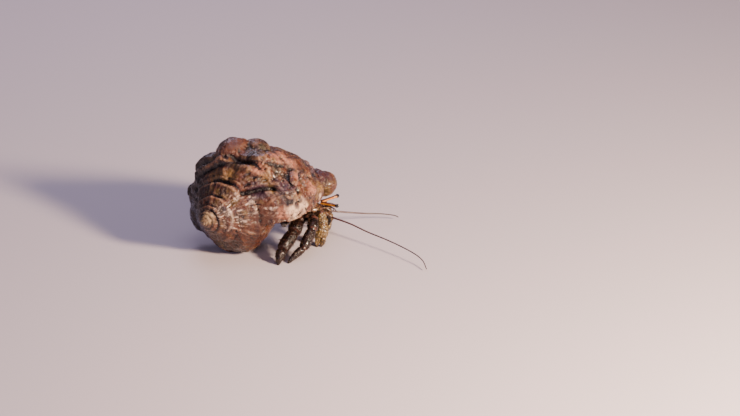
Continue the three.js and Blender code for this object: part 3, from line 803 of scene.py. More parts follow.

# %% [markdown]
# ## The shell's colours
# Brown and rust lie under everything. Olive, tan and purple follow the noises, growth
# lines and cords over it. Then come the patches, among them two painted highlights on the
# crown, and the white streaks of the near turn, pale growth lines that also carry painted
# wet highlights. Painted shade then darkens the side away from the key lamp, the hollows
# and the cracks. Last come a few pale specks. A thin coat makes it wet.

# %% Mix the shell's paint
DARK_BROWN = (0.020, 0.010, 0.008)
RED_BROWN = (0.076, 0.021, 0.008)
OLIVE_GOLD = (0.100, 0.058, 0.015)
TAN = (0.170, 0.076, 0.032)
WORN_TAN = (0.360, 0.195, 0.110)
PURPLE_BROWN = (0.042, 0.018, 0.028)
# painted shade for the hollows, the broad hollows and the cut cracks
PAINTED_HOLLOW_SHADE = (0.006, 0.003, 0.004)
SHADED_DARK = (0.012, 0.007, 0.009)         # painted shade on the side turned away from the key lamp
STREAK_WHITE = (0.560, 0.430, 0.360)
PATCH_COLOURS = {
    "rusty": (0.088, 0.028, 0.013), "mossy": (0.030, 0.022, 0.009),
    # the smooth lower turn is reddish brown, made darker as painted shade
    "smooth": (0.044, 0.013, 0.005), "golden": (0.180, 0.098, 0.030),
    "rosy": (0.370, 0.155, 0.098), "cream": (0.400, 0.265, 0.140),
    # the white of the worn lip, also the colour of the painted highlights on the crown
    "purple": (0.034, 0.015, 0.026), "white_lip": (0.620, 0.430, 0.310),
    "lip_marks": (0.012, 0.005, 0.012),
}

shell_paint = Paint(
    "wet_weathered_shell", Coat_Weight=0.34, Coat_Roughness=0.09, Specular_IOR_Level=0.40)
p = shell_paint
turn, down, hollow = (p.number(name) for name in ("turn", "down", "hollow"))
growth = p.noise(1.0, 5.0, 0.6, p.vector(p.times(turn, 62.0), p.times(down, 3.0), 0.0))
cords = p.noise(1.0, 4.0, 0.6, p.vector(p.times(turn, 5.0), p.times(down, 26.0), 0.0))
grain = p.noise(1.1, 6.0, 0.68)
speck = p.noise(0.40, 3.0, 0.6)

colour = p.mix(p.ramp(p.noise(5.5, 3.0, 0.5), 0.38, 0.60), DARK_BROWN, RED_BROWN)
colour = p.veil(colour, OLIVE_GOLD, p.noise(3.6, 4.0, 0.6), 0.52, 0.66)
colour = p.veil(colour, TAN, grain, 0.56, 0.74, 0.6)
colour = p.veil(colour, TAN, growth, 0.54, 0.70, 0.55)
colour = p.veil(colour, PURPLE_BROWN, cords, 0.52, 0.72, 0.55)
worn = p.plus(hollow, p.times(grain, -0.20))
colour = p.veil(colour, WORN_TAN, worn, -0.18, -0.42, 0.50)
for name, paint in PATCH_COLOURS.items():
    colour = p.mix(p.times(p.number(name), p.ramp(grain, 0.24, 0.46)), colour, paint)
colour = p.veil(colour, PURPLE_BROWN, cords, 0.50, 0.68, 0.38)
colour = p.veil(colour, RED_BROWN, p.noise(2.4, 5.0, 0.65), 0.52, 0.66, 0.45)
# white streaks along the growth lines, partly pale lines and partly painted wet highlights
streaks = p.times(p.number("streaks"), p.ramp(growth, 0.50, 0.62))
colour = p.mix(p.times(streaks, p.ramp(grain, 0.38, 0.56)), colour, STREAK_WHITE)
# the white line, the dark seams of the smallest turns, and painted shade on the side away from the
# key lamp
for name, share, paint in (("white_line", 0.90, STREAK_WHITE), ("suture", 0.85, DARK_BROWN),
                           ("shaded", 0.88, SHADED_DARK)):
    colour = p.mix(p.times(p.number(name), share), colour, paint)
# painted shade: the hollows, the broad hollows and the cracks
hollow_shade = p.plus(hollow, p.times(grain, 0.10))
colour = p.veil(colour, PAINTED_HOLLOW_SHADE, hollow_shade, 0.11, 0.30, 0.90)
colour = p.veil(colour, PAINTED_HOLLOW_SHADE, p.number("broad_hollow"), 0.20, 0.8, 0.85)
colour = p.veil(colour, PAINTED_HOLLOW_SHADE, p.number("crevice"), 0.15, 0.65, 0.92)
colour = p.veil(colour, WORN_TAN, speck, 0.66, 0.76, 0.45)
height = p.plus(p.times(growth, 1.2), p.times(grain, 1.2))
height = p.plus(p.plus(height, p.times(cords, 0.45)), p.times(speck, 0.45))
height = p.times(height, p.ramp(p.number("smooth"), 0.0, 1.0, 1.0, 0.45))
p.finish(colour, p.ramp(p.noise(2.0, 4.0, 0.6), 0.35, 0.65, 0.16, 0.42), height, 0.42)
settle(shell, "shell", shell_paint, "shell")


# %% [markdown]
# ## The crab's plates
# A crab's limb is a row of hollow plates, each fitting into the end of the one before.
# Each kind of plate is turned up once, one long and one half wide, by pulling rings out
# of a circle. Copies are then stretched between the joints of every limb.

# %% The crab's joints and widths
LEGS = {
    # hip, knee, ankle, claw joint and toe
    "leg_front_right": ((37.4, 28.2, 6.4), (39.7, 17.0, 11.0), (39.3, 12.4, 9.3),
                        (36.2, 6.9, 4.3), (30.4, 2.9, -0.3)),
    "leg_rear_right": ((33.8, 28.0, 6.4), (34.0, 16.8, 10.4), (32.8, 11.3, 8.7),
                       (28.6, 5.0, 4.5), (27.0, 1.4, -0.3)),
    "leg_front_left": ((37.4, 35.8, 6.4), (37.2, 46.2, 10.2), (37.7, 51.0, 8.0),
                       (38.0, 56.6, 3.6), (36.8, 59.5, -0.3)),
    "leg_rear_left": ((33.8, 36.0, 6.4), (31.6, 46.8, 10.2), (30.2, 51.8, 8.0),
                      (27.4, 57.4, 3.8), (25.4, 59.2, -0.3)),
}
CLAWS = {
    "right": ((39.9, 28.6, 7.2), (42.3, 22.2, 11.4), (43.1, 20.0, 7.9), (41.3, 18.4, -0.2),
              (1.0, 0.1, 0.0), 1.0),
    "left": ((40.6, 35.5, 6.2), (43.4, 39.6, 8.2), (44.6, 37.6, 5.9), (43.6, 33.6, -0.2),
             (1.0, 0.0, 0.0), 0.94),
}
LEG_WIDTHS = {"merus": 4.3, "carpus": 4.3, "propodus": 4.1, "dactyl": 3.1}
LEG_BREADTH = {"front": 1.0, "rear": 1.25}
CLAW_WIDTHS = {"merus": 3.2, "carpus": 3.7, "palm": 4.9}
THICKNESS = 0.74
LEG_THICKNESS = 1.00
PALM_SHARE = 0.56
print("limbs:", [*LEGS, *CLAWS])

# %% Turn up one plate of each kind
PLATE_SIDES = 16
RINGS = {
    # share of the length, share of the half width
    "merus": ((-0.04, 0.45), (0.0, 0.58), (0.10, 0.76), (0.35, 0.95), (0.60, 1.0),
              (0.85, 0.98), (0.97, 0.90), (1.02, 0.74), (1.0, 0.55)),
    "carpus": ((-0.10, 0.50), (0.0, 0.66), (0.12, 0.82), (0.40, 0.96), (0.70, 1.0),
               (0.92, 0.95), (1.03, 0.74), (1.0, 0.50)),
    "propodus": ((-0.08, 0.50), (0.0, 0.68), (0.10, 0.86), (0.30, 0.98), (0.60, 1.0),
                 (0.88, 0.92), (0.98, 0.80), (1.02, 0.60), (1.0, 0.42)),
    "dactyl": ((-0.06, 0.45), (0.0, 0.72), (0.10, 0.94), (0.25, 1.0), (0.50, 0.84),
               (0.72, 0.60), (0.88, 0.36), (0.97, 0.17), (1.0, 0.06)),
    "palm": ((-0.08, 0.48), (0.0, 0.62), (0.14, 0.84), (0.40, 0.99), (0.65, 1.02),
             (0.88, 0.90), (0.99, 0.66), (1.0, 0.40)),
    "finger": ((-0.12, 0.60), (0.0, 0.86), (0.15, 1.0), (0.35, 0.98), (0.60, 0.80),
               (0.82, 0.54), (0.95, 0.28), (1.0, 0.10)),
}


def turn_up_plate(kind):
    rings = RINGS[kind]
    clear_selection()
    at, radius = rings[0]
    bpy.ops.mesh.primitive_circle_add(
        vertices=PLATE_SIDES, radius=radius, fill_type="NGON", location=(0, 0, at))
    piece = bpy.context.object
    piece.name = f"plate_{kind}"
    bpy.ops.object.mode_set(mode="EDIT")
    bpy.ops.mesh.select_all(action="SELECT")
    for (before, old), (after, new) in zip(rings, rings[1:]):
        bpy.ops.mesh.extrude_region_move(
            TRANSFORM_OT_translate={"value": (0, 0, after - before)})
        bpy.ops.transform.resize(value=(new / old, new / old, 1))
    bpy.ops.mesh.select_all(action="SELECT")
    bpy.ops.mesh.normals_make_consistent(inside=False)
    bpy.ops.object.mode_set(mode="OBJECT")
    bpy.ops.object.transform_apply(location=True, rotation=False, scale=False)
    apply_modifier(piece, "SUBSURF", levels=2, render_levels=2)
    return piece


plates = {kind: turn_up_plate(kind) for kind in RINGS}
print("plates:", {kind: len(piece.data.vertices) for kind, piece in plates.items()})

# %% [markdown]
# ## Copies between the joints
# One plate of each kind serves every limb, as the joints say where a copy starts and ends
# and the widths how stout it is. A slight bow keeps a limb from looking like a stick. The
# palm and its fixed finger are one plate on the real animal, so they are joined. Each
# point keeps its place on the plate, for stripes and dark tips later.

# %% Lay copies between the joints
def lay_plate(kind, name, start, end, width, thickness, wide, arch=0.0, curl=0.0):
    """Stretches a copy from joint to joint. arch bows it upwards, curl bends in its tip."""
    pick_only(plates[kind])
    bpy.ops.object.duplicate()
    piece = bpy.context.object
    piece.name = name
    start, end = Vector(start), Vector(end)
    length = (end - start).length
    along = (end - start).normalized()
    depth = along.cross(Vector(wide)).normalized()
    across = depth.cross(along).normalized()
    local = read_points(piece)
    share = np.clip(local[:, 2], 0, 1)
    keep_number(piece, "along", share)
    keep_number(piece, "wide", local[:, 0])
    keep_number(piece, "deep", local[:, 1])
    bow = arch * 4 * share * (1 - share) + curl * share ** 2 * (1 - share) * 4
    shape = np.array((across * width / 2, depth * width / 2 * thickness, along * length))
    write_points(piece, local @ shape + start + bow[:, None] * across)
    return piece


def upright(start, end):
    along = (Vector(end) - Vector(start)).normalized()
    return along.cross(Vector((0, 0, 1))).cross(along).normalized()


print("up, across a level limb:", tuple(upright((0, 0, 0), (1, 0, 0))))

# %% Put the limbs together
LEG_BOWS = {"merus": 0.3, "carpus": 0.15, "propodus": 0.15, "dactyl": 0.35}
CLAW_BOW = 0.2
KNUCKLE_SHARE = 0.55                         # of the palm, where the fixed finger starts
FINGER_WIDTH, FINGER_THICKNESS = 0.44, 0.9
ROOT_APART, TIP_APART = 0.24, 0.13           # of the palm's width, either side of its middle
FINGER_CURL = 0.3

legs = {}
for name, joints in LEGS.items():
    breadth = LEG_BREADTH[name.split("_")[1]]
    for i, (kind, width) in enumerate(LEG_WIDTHS.items()):
        start, end = joints[i], joints[i + 1]
        legs[f"{name}_{kind}"] = lay_plate(
            kind, f"crab_{name}_{kind}", start, end, width * breadth, LEG_THICKNESS,
            upright(start, end), arch=LEG_BOWS[kind])

claws = {}
for side, (hip, knee, wrist, tip, wide, size) in CLAWS.items():
    wide = Vector(wide).normalized()
    wrist, tip = Vector(wrist), Vector(tip)
    palm_end = wrist + (tip - wrist) * PALM_SHARE
    knuckle = wrist + (tip - wrist) * PALM_SHARE * KNUCKLE_SHARE
    width = CLAW_WIDTHS["palm"] * size
    at_root, at_tip = wide * width * ROOT_APART, wide * width * TIP_APART
    finger = (width * FINGER_WIDTH, FINGER_THICKNESS, wide)
    claws[f"claw_{side}_merus"] = lay_plate(
        "merus", f"crab_claw_{side}_merus", hip, knee, CLAW_WIDTHS["merus"] * size, THICKNESS,
        upright(hip, knee), arch=CLAW_BOW)
    claws[f"claw_{side}_carpus"] = lay_plate(
        "carpus", f"crab_claw_{side}_carpus", knee, wrist, CLAW_WIDTHS["carpus"] * size,
        THICKNESS, wide)
    palm = lay_plate("palm", f"crab_claw_{side}_palm", wrist, palm_end, width, THICKNESS, wide)
    thumb = lay_plate("finger", "thumb", knuckle - at_root, tip - at_tip, *finger)
    claws[f"claw_{side}_palm"] = join_pieces(f"crab_claw_{side}_palm", [palm, thumb])
    claws[f"claw_{side}_finger"] = lay_plate(
        "finger", f"crab_claw_{side}_finger", palm_end + at_root, tip + at_tip, *finger,
        curl=FINGER_CURL)

pick_only(*plates.values())
bpy.ops.object.delete()
print("limb plates:", len(legs) + len(claws))

# %% [markdown]
# ## Grains and wrinkles
# The claws are set with round grains as close as cobbles. A cell noise has just that
# pattern, and a dome over each cell's middle raises them, which a Bump node alone couldn't
# do, as the grains show on the outline. The legs are smoother and only wrinkled. Toes
# that would reach into the floor are cut flat.

# %% Raise the grains and wrinkles of the plates
GRAIN_SPACING = 0.72                         # millimetres between the claws' grains
GRAIN_HEIGHT = 0.20
GRAIN_EDGE = 0.48                            # where a dome ends, of the spacing
FINGER_GRAINS = 0.55                         # height of the fingers' grains, to the others
WRINKLES = ((0.07, 0.8, 3, 21.0), (0.05, 0.35, 2, 3.0))      # height, then the noise's numbers


def raise_grains(piece, spacing, height):
    apply_modifier(piece, "SUBSURF", levels=1, render_levels=1)
    points = read_points(piece)
    to_nearest = np.array([noise.voronoi(Vector(p) / spacing)[0][0] for p in points])
    dome = np.sqrt(np.clip(1 - (to_nearest / GRAIN_EDGE) ** 2, 0, 1))
    push_out(piece, height * dome)
    keep_number(piece, "dome", dome)


for node, piece in claws.items():
    smaller = FINGER_GRAINS if node.endswith("finger") else 1.0
    raise_grains(piece, GRAIN_SPACING * smaller ** 0.5, GRAIN_HEIGHT * smaller)
for piece in legs.values():
    points = read_points(piece)
    push_out(piece, sum(height * noise_on(points, *numbers) for height, *numbers in WRINKLES))
for piece in (*legs.values(), *claws.values()):
    keep_above_floor(piece)
print("grains on", len(claws), "claw plates, wrinkles on", len(legs), "leg plates")

# %% [markdown]
# ## Legs and claws: paint
# The walking legs are nearly black, with thin tan stripes from joint to joint, and the
# stripes are drawn by the angle round the plate that each point has kept. The claws are
# olive, with paler grains and a few cream spots. All tips are dark horn.

# %% Mark the dark tips
TIP_HEIGHTS = (1.5, 0.3)                     # above the floor, where a claw's tip darkens
TOE_SHARES = (0.80, 0.92)                    # along the last plate, where a leg's toe does
CLAW_TIP_SHARE = 0.8

for node, piece in claws.items():
    heights = read_points(piece)[:, 2]
    at_tip = node.endswith(("palm", "finger")) * fade(heights, *TIP_HEIGHTS)
    keep_number(piece, "dark_tip", CLAW_TIP_SHARE * at_tip)
for node, piece in legs.items():
    along = read_number(piece, "along")
    keep_number(piece, "dark_tip", node.endswith("dactyl") * fade(along, *TOE_SHARES))
print("dark tips:", [node for node in (*legs, *claws) if node.endswith(("dactyl", "finger"))])

# %% Mix the legs' paint
LEG_BLACK, LEG_BROWN = (0.003, 0.002, 0.002), (0.013, 0.005, 0.004)
LEG_STRIPES = (-150, -90, -30, 30, 90, 150)  # degrees round the plate
STRIPE_TAN = (0.090, 0.042, 0.020)
JOINT_RED = (0.050, 0.017, 0.010)
SPOT_TAN = (0.200, 0.120, 0.065)
TOE_HORN = (0.014, 0.009, 0.007)

leg_paint = Paint(
    "dark_striped_leg", Coat_Weight=0.28, Coat_Roughness=0.07, Specular_IOR_Level=0.25)
p = leg_paint
around = p.math("ARCTAN2", p.number("deep"), p.number("wide"))
colour = p.mix(p.ramp(p.noise(1.3), 0.38, 0.62), LEG_BLACK, LEG_BROWN)
for angle in LEG_STRIPES:
    off = p.math("ABSOLUTE", p.math("SUBTRACT", around, math.radians(angle)))
    off = p.plus(off, p.times(p.noise(0.7, 3.0), 0.12))
    colour = p.veil(colour, STRIPE_TAN, off, 0.11, 0.05, 0.35)
colour = p.veil(colour, JOINT_RED, p.number("along"), 0.93, 1.0, 0.40)
colour = p.veil(colour, SPOT_TAN, p.noise(0.34, 2.0), 0.66, 0.72, 0.6)
colour = p.mix(p.number("dark_tip"), colour, TOE_HORN)
height = p.plus(p.noise(0.5, 5.0, 0.7), p.times(p.cells(0.55), 0.5))
p.finish(colour, p.ramp(p.noise(0.9), 0.35, 0.65, 0.12, 0.34), height, 0.22)
print("stripes on a leg:", len(LEG_STRIPES))

# %% Mix the claws' paint
OLIVE_DARK, OLIVE_GREEN = (0.026, 0.015, 0.005), (0.105, 0.062, 0.015)
GRAIN_OLIVE = (0.300, 0.190, 0.052)
CLAW_BROWN = (0.045, 0.024, 0.012)
CLAW_CREAM = (0.620, 0.430, 0.240)
CLAW_HORN = (0.020, 0.012, 0.010)

claw_paint = Paint(
    "granular_olive_claw", Coat_Weight=0.45, Coat_Roughness=0.08, Specular_IOR_Level=0.45)
p = claw_paint
colour = p.mix(p.ramp(p.noise(1.7), 0.36, 0.62), OLIVE_DARK, OLIVE_GREEN)
colour = p.veil(colour, GRAIN_OLIVE, p.number("dome"), 0.45, 0.95, 0.65)
colour = p.veil(colour, CLAW_BROWN, p.noise(0.8, 5.0), 0.54, 0.68, 0.75)
colour = p.veil(colour, CLAW_CREAM, p.noise(0.5, 3.0), 0.60, 0.70, 0.7)
colour = p.mix(p.number("dark_tip"), colour, CLAW_HORN)
height = p.plus(p.noise(0.4, 4.0), p.times(p.cells(0.3), 0.4))
p.finish(colour, p.ramp(p.noise(0.9), 0.35, 0.65, 0.14, 0.36), height, 0.14)
print("paints so far:", [paint.material.name for paint in (shell_paint, leg_paint, claw_paint)])

# %% [markdown]
# ## Eyes, feelers and mouth parts
# All of these are tapering round rods. A rod is pulled as a curve with its own thickness
# at each place, and made a mesh.

# %% Pull a rod through places
def smooth_path(places, per_span):
    """Places along a smooth curve that runs through all the given ones."""
    places = [Vector(place) for place in places]
    padded = [places[0] * 2 - places[1], *places, places[-1] * 2 - places[-2]]
    path = []
    for before, start, end, after in zip(padded, padded[1:], padded[2:], padded[3:]):
        for i in range(per_span):
            t = i / per_span
            path.append(0.5 * (
                2 * start + (end - before) * t
                + (2 * before - 5 * start + 4 * end - after) * t ** 2
                + (3 * start - before - 3 * end + after) * t ** 3))
    return path + [places[-1]]


def pull_rod(name, places, radii, per_span=12, sides=8):
    """A closed rod through the places. radii are spread evenly along its length."""
    path = smooth_path(places, per_span)
    shares = np.linspace(0, 1, len(path))
    wide = np.interp(shares, np.linspace(0, 1, len(radii)), radii)
    line = bpy.data.curves.new(name, "CURVE")
    line.dimensions = "3D"
    line.bevel_depth = 1.0
    line.bevel_resolution = sides // 4
    line.use_fill_caps = True
    spline = line.splines.new("POLY")
    spline.points.add(len(path) - 1)
    for point, place, radius in zip(spline.points, path, wide):
        point.co = (*place, 1)
        point.radius = radius
    pick_only(add_object(name, line))
    bpy.ops.object.convert(target="MESH")
    rod = bpy.context.object
    middle = np.array(path)
    gaps = np.linalg.norm(read_points(rod)[:, None] - middle[None], axis=2)
    keep_number(rod, "along", shares[gaps.argmin(axis=1)])
    return rod


print("a smooth path of two spans has", len(smooth_path(np.eye(3), 5)), "places")

# %% [markdown]
# ## Eyes on stalks
# A hermit crab's eyes stand on slim stalks with a narrow waist, orange below and with a
# dark line along the top. Each eye is a glossy dome that covers the stalk's end.

# %% Pull the eyestalks and set the eyes on them
EYES = {"right": ((42.3, 31.2, 11.9), (47.4, 27.9, 12.2)),
        "left": ((42.3, 32.8, 11.8), (47.5, 36.5, 12.3))}
EYESTALK_RADII = (0.66, 0.58, 0.52, 0.52, 0.60)
TOP_LINE_RISE = 0.46                         # above the stalk's middle
CORNEA_RADIUS = 0.78
CORNEA_SHAPE = (0.97, 0.97, 1.0)

eyes, stalks = {}, {}
for side, (base, end) in EYES.items():
    base, end = Vector(base), Vector(end)
    along = (end - base).normalized()
    stalk = pull_rod(
        f"crab_eyestalk_{side}",
        [base, base.lerp(end, 0.3), base.lerp(end, 0.7), end + along * CORNEA_RADIUS * 0.5],
        EYESTALK_RADII, per_span=8, sides=12)
    over = (read_points(stalk) - np.array(base)) @ np.array(upright(base, end))
    keep_number(stalk, "top_line", np.clip(over / TOP_LINE_RISE, 0, 1))
    stalks[side] = stalk

    clear_selection()
    bpy.ops.mesh.primitive_uv_sphere_add(segments=16, ring_count=10, radius=1)
    eye = bpy.context.object
    eye.name = f"crab_eye_{side}"
    turn_to_stalk = np.array(along.to_track_quat("Z", "Y").to_matrix())
    size = CORNEA_RADIUS * np.array(CORNEA_SHAPE)
    middle = np.array(end + along * CORNEA_RADIUS * 0.9)
    write_points(eye, (read_points(eye) * size) @ turn_to_stalk.T + middle)
    eyes[side] = eye
print("eyes:", [eye.name for eye in eyes.values()])

# %% [markdown]
# ## Feelers and mouth parts
# The long feelers, or antennae, carry close rings like a string of short beads, so their
# points are pushed out and in along their length. Each stands on a stout base with a
# pointed scale beside it. Between them are the short forked feelers, or antennules, and
# below hang the leg-like mouth parts, or maxillipeds.

# %% The feelers' places and radii
ANTENNULES = {
    "right": ((42.9, 31.4, 10.4), (45.0, 30.6, 10.9), (46.8, 30.0, 10.2), (47.6, 29.8, 8.9)),
    "left": ((42.9, 32.6, 10.4), (45.0, 33.4, 10.9), (46.7, 34.0, 10.3), (47.6, 34.3, 9.1)),
}
ANTENNA_BASES = {"right": ((42.2, 29.7, 9.1), (44.2, 29.3, 8.5), (46.0, 28.9, 7.4)),
                 "left": ((42.2, 34.3, 9.1), (44.0, 34.5, 8.5), (45.7, 34.7, 7.4))}
ANTENNAE = {
    "right": ((46.0, 28.9, 7.3), (52.7, 25.0, 6.3), (59.1, 20.0, 5.1), (65.6, 14.0, 4.7),
              (71.7, 8.0, 4.1), (76.2, 3.0, 3.4), (78.7, -0.5, 2.4), (79.9, -4.4, 1.0)),
    "left": ((45.7, 34.7, 7.3), (54.0, 37.0, 5.7), (59.1, 39.5, 4.4), (63.6, 41.5, 3.5),
             (68.5, 43.0, 2.3), (70.2, 43.5, 1.4)),
}
MAXILLIPEDS = {
    "right": ((42.3, 30.6, 6.4), (44.3, 30.2, 6.9), (45.3, 30.4, 5.4), (44.9, 30.9, 3.6)),
    "left": ((42.3, 33.4, 6.4), (44.3, 33.8, 6.9), (45.3, 33.6, 5.4), (44.9, 33.1, 3.6)),
}
ANTENNA_RADII = (0.36, 0.28, 0.24, 0.21, 0.16)
ANTENNA_RINGS = 105
RING_HEIGHT = 0.030
BASE_RADII = (0.92, 0.98, 0.80, 0.86, 0.70, 0.74, 0.50)
SCALE_RADII = (0.50, 0.34, 0.06)
STEM_RADII = (0.36, 0.30, 0.33, 0.26, 0.28, 0.24)
UPPER_RADII, LOWER_RADII = (0.24, 0.22, 0.12), (0.18, 0.15, 0.08)
MAXILLIPED_RADII = (0.62, 0.80, 0.66, 0.76, 0.58, 0.62, 0.50, 0.40)
print("places along an antenna:", {side: len(places) for side, places in ANTENNAE.items()})

# %% Pull the feelers and the mouth parts
feelers = {}
for side, out in (("right", -1), ("left", 1)):
    antenna = pull_rod(f"crab_antenna_{side}", ANTENNAE[side], ANTENNA_RADII, per_span=60)
    push_out(antenna, RING_HEIGHT * np.cos(
        read_number(antenna, "along") * math.tau * ANTENNA_RINGS))
    feelers[f"antenna_{side}"] = antenna

    base = pull_rod(f"crab_antenna_base_{side}", ANTENNA_BASES[side], BASE_RADII,
                    per_span=9, sides=12)
    root = Vector(ANTENNA_BASES[side][1])
    scale = pull_rod(
        "scale", [root, root + Vector((1.0, 0.5 * out, 0.8)), root + Vector((2.2, 0.8 * out, 1.1))],
        SCALE_RADII, per_span=8, sides=12)
    feelers[f"antenna_base_{side}"] = join_pieces(f"crab_antenna_base_{side}", [base, scale])

    *stem, tip = (Vector(place) for place in ANTENNULES[side])
    fork = stem[-1]
    upper = pull_rod("flagellum", [fork, fork.lerp(tip, 0.5) + Vector((0.25, 0, 0.2)), tip],
                     UPPER_RADII, per_span=8)
    lower = pull_rod(
        "short flagellum", [fork, fork + Vector((-0.1, 0, -0.6)), fork + Vector((0.1, 0, -1.2))],
        LOWER_RADII, per_span=6)
    stem = pull_rod("stem", stem, STEM_RADII, per_span=10)
    feelers[f"antennule_{side}"] = join_pieces(
        f"crab_antennule_{side}", [stem, upper, lower])

    feelers[f"maxilliped_{side}"] = pull_rod(
        f"crab_maxilliped_{side}", MAXILLIPEDS[side], MAXILLIPED_RADII, per_span=8, sides=12)
print("feelers:", list(feelers))

# %% [markdown]
# ## The soft body
# The hermit's hind body is soft and coils up into the shell. Thorax, hind body and the
# four small holding legs share one skin: balls and rods melted together, with the small
# folds of soft skin raised on it. The holding legs are a little horny, so the paint is
# told how near each point is to one of them.

# %% Melt the soft body together
ABDOMEN = (
    ((32.6, 28.4, 10.6), 2.5), ((32.0, 23.6, 14.8), 3.7), ((30.8, 20.4, 20.6), 3.8),
    ((26.9, 21.0, 26.6), 3.4), ((20.4, 24.4, 29.2), 2.8), ((14.4, 27.4, 27.4), 2.1),
    ((11.4, 29.6, 23.6), 1.1),
)
HOLDING_LEGS = {
    "leg_fourth_right": ((31.2, 28.9, 7.4), (29.4, 25.4, 6.4), (28.8, 22.2, 7.0),
                         (28.4, 20.6, 8.4)),
    "leg_fourth_left": ((32.6, 34.6, 8.8), (33.8, 37.4, 11.4), (35.6, 39.4, 11.8)),
    "leg_fifth_right": ((31.8, 31.2, 7.4), (28.8, 30.6, 8.2), (26.9, 29.4, 9.8)),
    "leg_fifth_left": ((31.8, 33.6, 7.4), (29.4, 34.4, 8.8), (27.8, 34.0, 10.6)),
}
HOLDING_RADII = {"leg_fourth_right": (1.45, 0.80)}
SLIM_RADII = (1.1, 0.55)                     # of the other holding legs
HOLDING_ROOT = (33.6, 31.6, 7.6)
WAIST = (((36.0, 31.0, 7.6), 2.4), ((34.0, 29.6, 9.4), 2.4), ((32.4, 27.6, 11.2), 2.5))
THORAX = ((37.2, 32.0, 6.1), (4.5, 3.5, 2.1))
SKIN_VOXEL = 0.30
FOLD_HEIGHT = 0.12


def pull_bulge(name, bulges):
    """A stout rod through places that each have a radius."""
    return pull_rod(name, [at for at, _ in bulges], [radius for _, radius in bulges], 8, 16)


soft = [scaled_ball("thorax", *THORAX), pull_bulge("hind body", ABDOMEN),
        scaled_ball("tail end", ABDOMEN[-1][0], (ABDOMEN[-1][1],) * 3),
        pull_bulge("waist", WAIST)]
for name, places in HOLDING_LEGS.items():
    thick, thin = HOLDING_RADII.get(name, SLIM_RADII)
    soft.append(pull_rod(name, [HOLDING_ROOT, *places], [thick, thin], 8, 12))
    soft.append(scaled_ball(name, places[-1], (thin,) * 3))
body = join_pieces("crab_soft_body", soft)
remesh_whole(body, SKIN_VOXEL)
points = read_points(body)
push_out(body, FOLD_HEIGHT * noise_on(points, 1.8, 3, 5.0))
to_leg = np.min([distance_to_stroke(points, places) for places in HOLDING_LEGS.values()], axis=0)
keep_number(body, "horny", fade(to_leg, 2.4, 1.5))
print("soft body:", len(body.data.vertices), "points")

# %% [markdown]
# ## The shield
# The plate that covers the head is hard, with a groove bent across it and a small beak
# between the eyes. It starts as a ball that is scaled flat. The groove is pressed in
# along the normals and the beak is pulled forwards.

# %% Press the groove and pull the beak
CARAPACE = ((37.6, 32.0, 9.5), (5.0, 4.0, 2.6))
CREASE_DEPTH, CREASE_WIDTH, CREASE_BEND = 0.35, 0.07, 0.35
BEAK_LENGTH, BEAK_START, BEAK_WIDTH = 0.9, 0.55, 0.22

shield = scaled_ball("crab_carapace", *CARAPACE)
apply_modifier(shield, "SUBSURF", levels=1, render_levels=1)
points = read_points(shield)
spot = (points - np.array(CARAPACE[0])) / np.array(CARAPACE[1])
crease = bell(spot[:, 0] + 0.15 - CREASE_BEND * spot[:, 1] ** 2, CREASE_WIDTH)
push_out(shield, -CREASE_DEPTH * crease * (spot[:, 2] > 0) + 0.08 * noise_on(points, 0.9, 3, 9.0))
points = read_points(shield)
points[:, 0] += BEAK_LENGTH * np.clip(spot[:, 0] - BEAK_START, 0, 1) * bell(
    spot[:, 1], BEAK_WIDTH)
write_points(shield, points)
print("shield:", len(points), "points")

# %% [markdown]
# ## Eyes and feelers: paint
# The stalks are the one bright colour of the animal, and the eyes are black and glossy,
# with facets too fine for more than the bump of a cell noise. The feelers are dark, with
# rings that follow the length of the rod.

# %% Mix the paints of eyes and feelers
stalk_paint = Paint("orange_eyestalk", Coat_Weight=0.3, Coat_Roughness=0.1)
p = stalk_paint
colour = p.mix(p.ramp(p.noise(1.0), 0.35, 0.65), (0.450, 0.140, 0.008), (0.560, 0.225, 0.018))
colour = p.veil(colour, (0.060, 0.018, 0.012), p.number("top_line"), 0.35, 0.75)
p.finish(colour, p.ramp(p.noise(0.5), 0.3, 0.7, 0.18, 0.35), p.noise(0.25), 0.03)

eye_paint = Paint("glossy_black_cornea", Coat_Weight=1.0, Coat_Roughness=0.03)
p = eye_paint
colour = p.mix(p.ramp(p.noise(0.5), 0.4, 0.6), (0.004, 0.004, 0.005), (0.012, 0.009, 0.008))
p.finish(colour, p.ramp(p.noise(0.3), 0.3, 0.7, 0.05, 0.12), p.cells(0.07), 0.004)

feeler_paint = Paint("ringed_feeler", Coat_Weight=0.3, Coat_Roughness=0.2)
p = feeler_paint
along = p.number("along")
rings = p.math("SINE", p.times(along, math.tau * 26))
colour = p.mix(p.ramp(along, 0.0, 0.8), (0.062, 0.020, 0.018), (0.024, 0.011, 0.016))
colour = p.veil(colour, (0.014, 0.006, 0.008), rings, -0.2, 0.8, 0.55)
p.finish(colour, p.ramp(p.noise(0.6), 0.3, 0.7, 0.25, 0.45), p.noise(0.2), 0.03)

for side in EYES:
    settle(stalks[side], "eyestalk", stalk_paint, f"eyestalk_{side}")
    settle(eyes[side], "cornea", eye_paint, f"eye_{side}")

# %% [markdown]
# ## Shield and soft skin: paint
# The shield is dark and mottled with tan. The skin of the hind body is a pale flesh
# colour with a wet sheen, and turns to brown horn on the holding legs.

# %% Mix the paints of shield and soft skin
shield_paint = Paint(
    "dark_mottled_shield", Coat_Weight=0.40, Coat_Roughness=0.08, Specular_IOR_Level=0.40)
p = shield_paint
colour = p.mix(p.ramp(p.noise(1.2), 0.40, 0.60), (0.024, 0.013, 0.009), (0.095, 0.040, 0.022))
colour = p.veil(colour, (0.360, 0.230, 0.085), p.noise(0.45, 3.0), 0.58, 0.68, 0.8)
p.finish(colour, p.ramp(p.noise(0.8), 0.3, 0.7, 0.2, 0.45), p.noise(0.5, 5.0), 0.15)

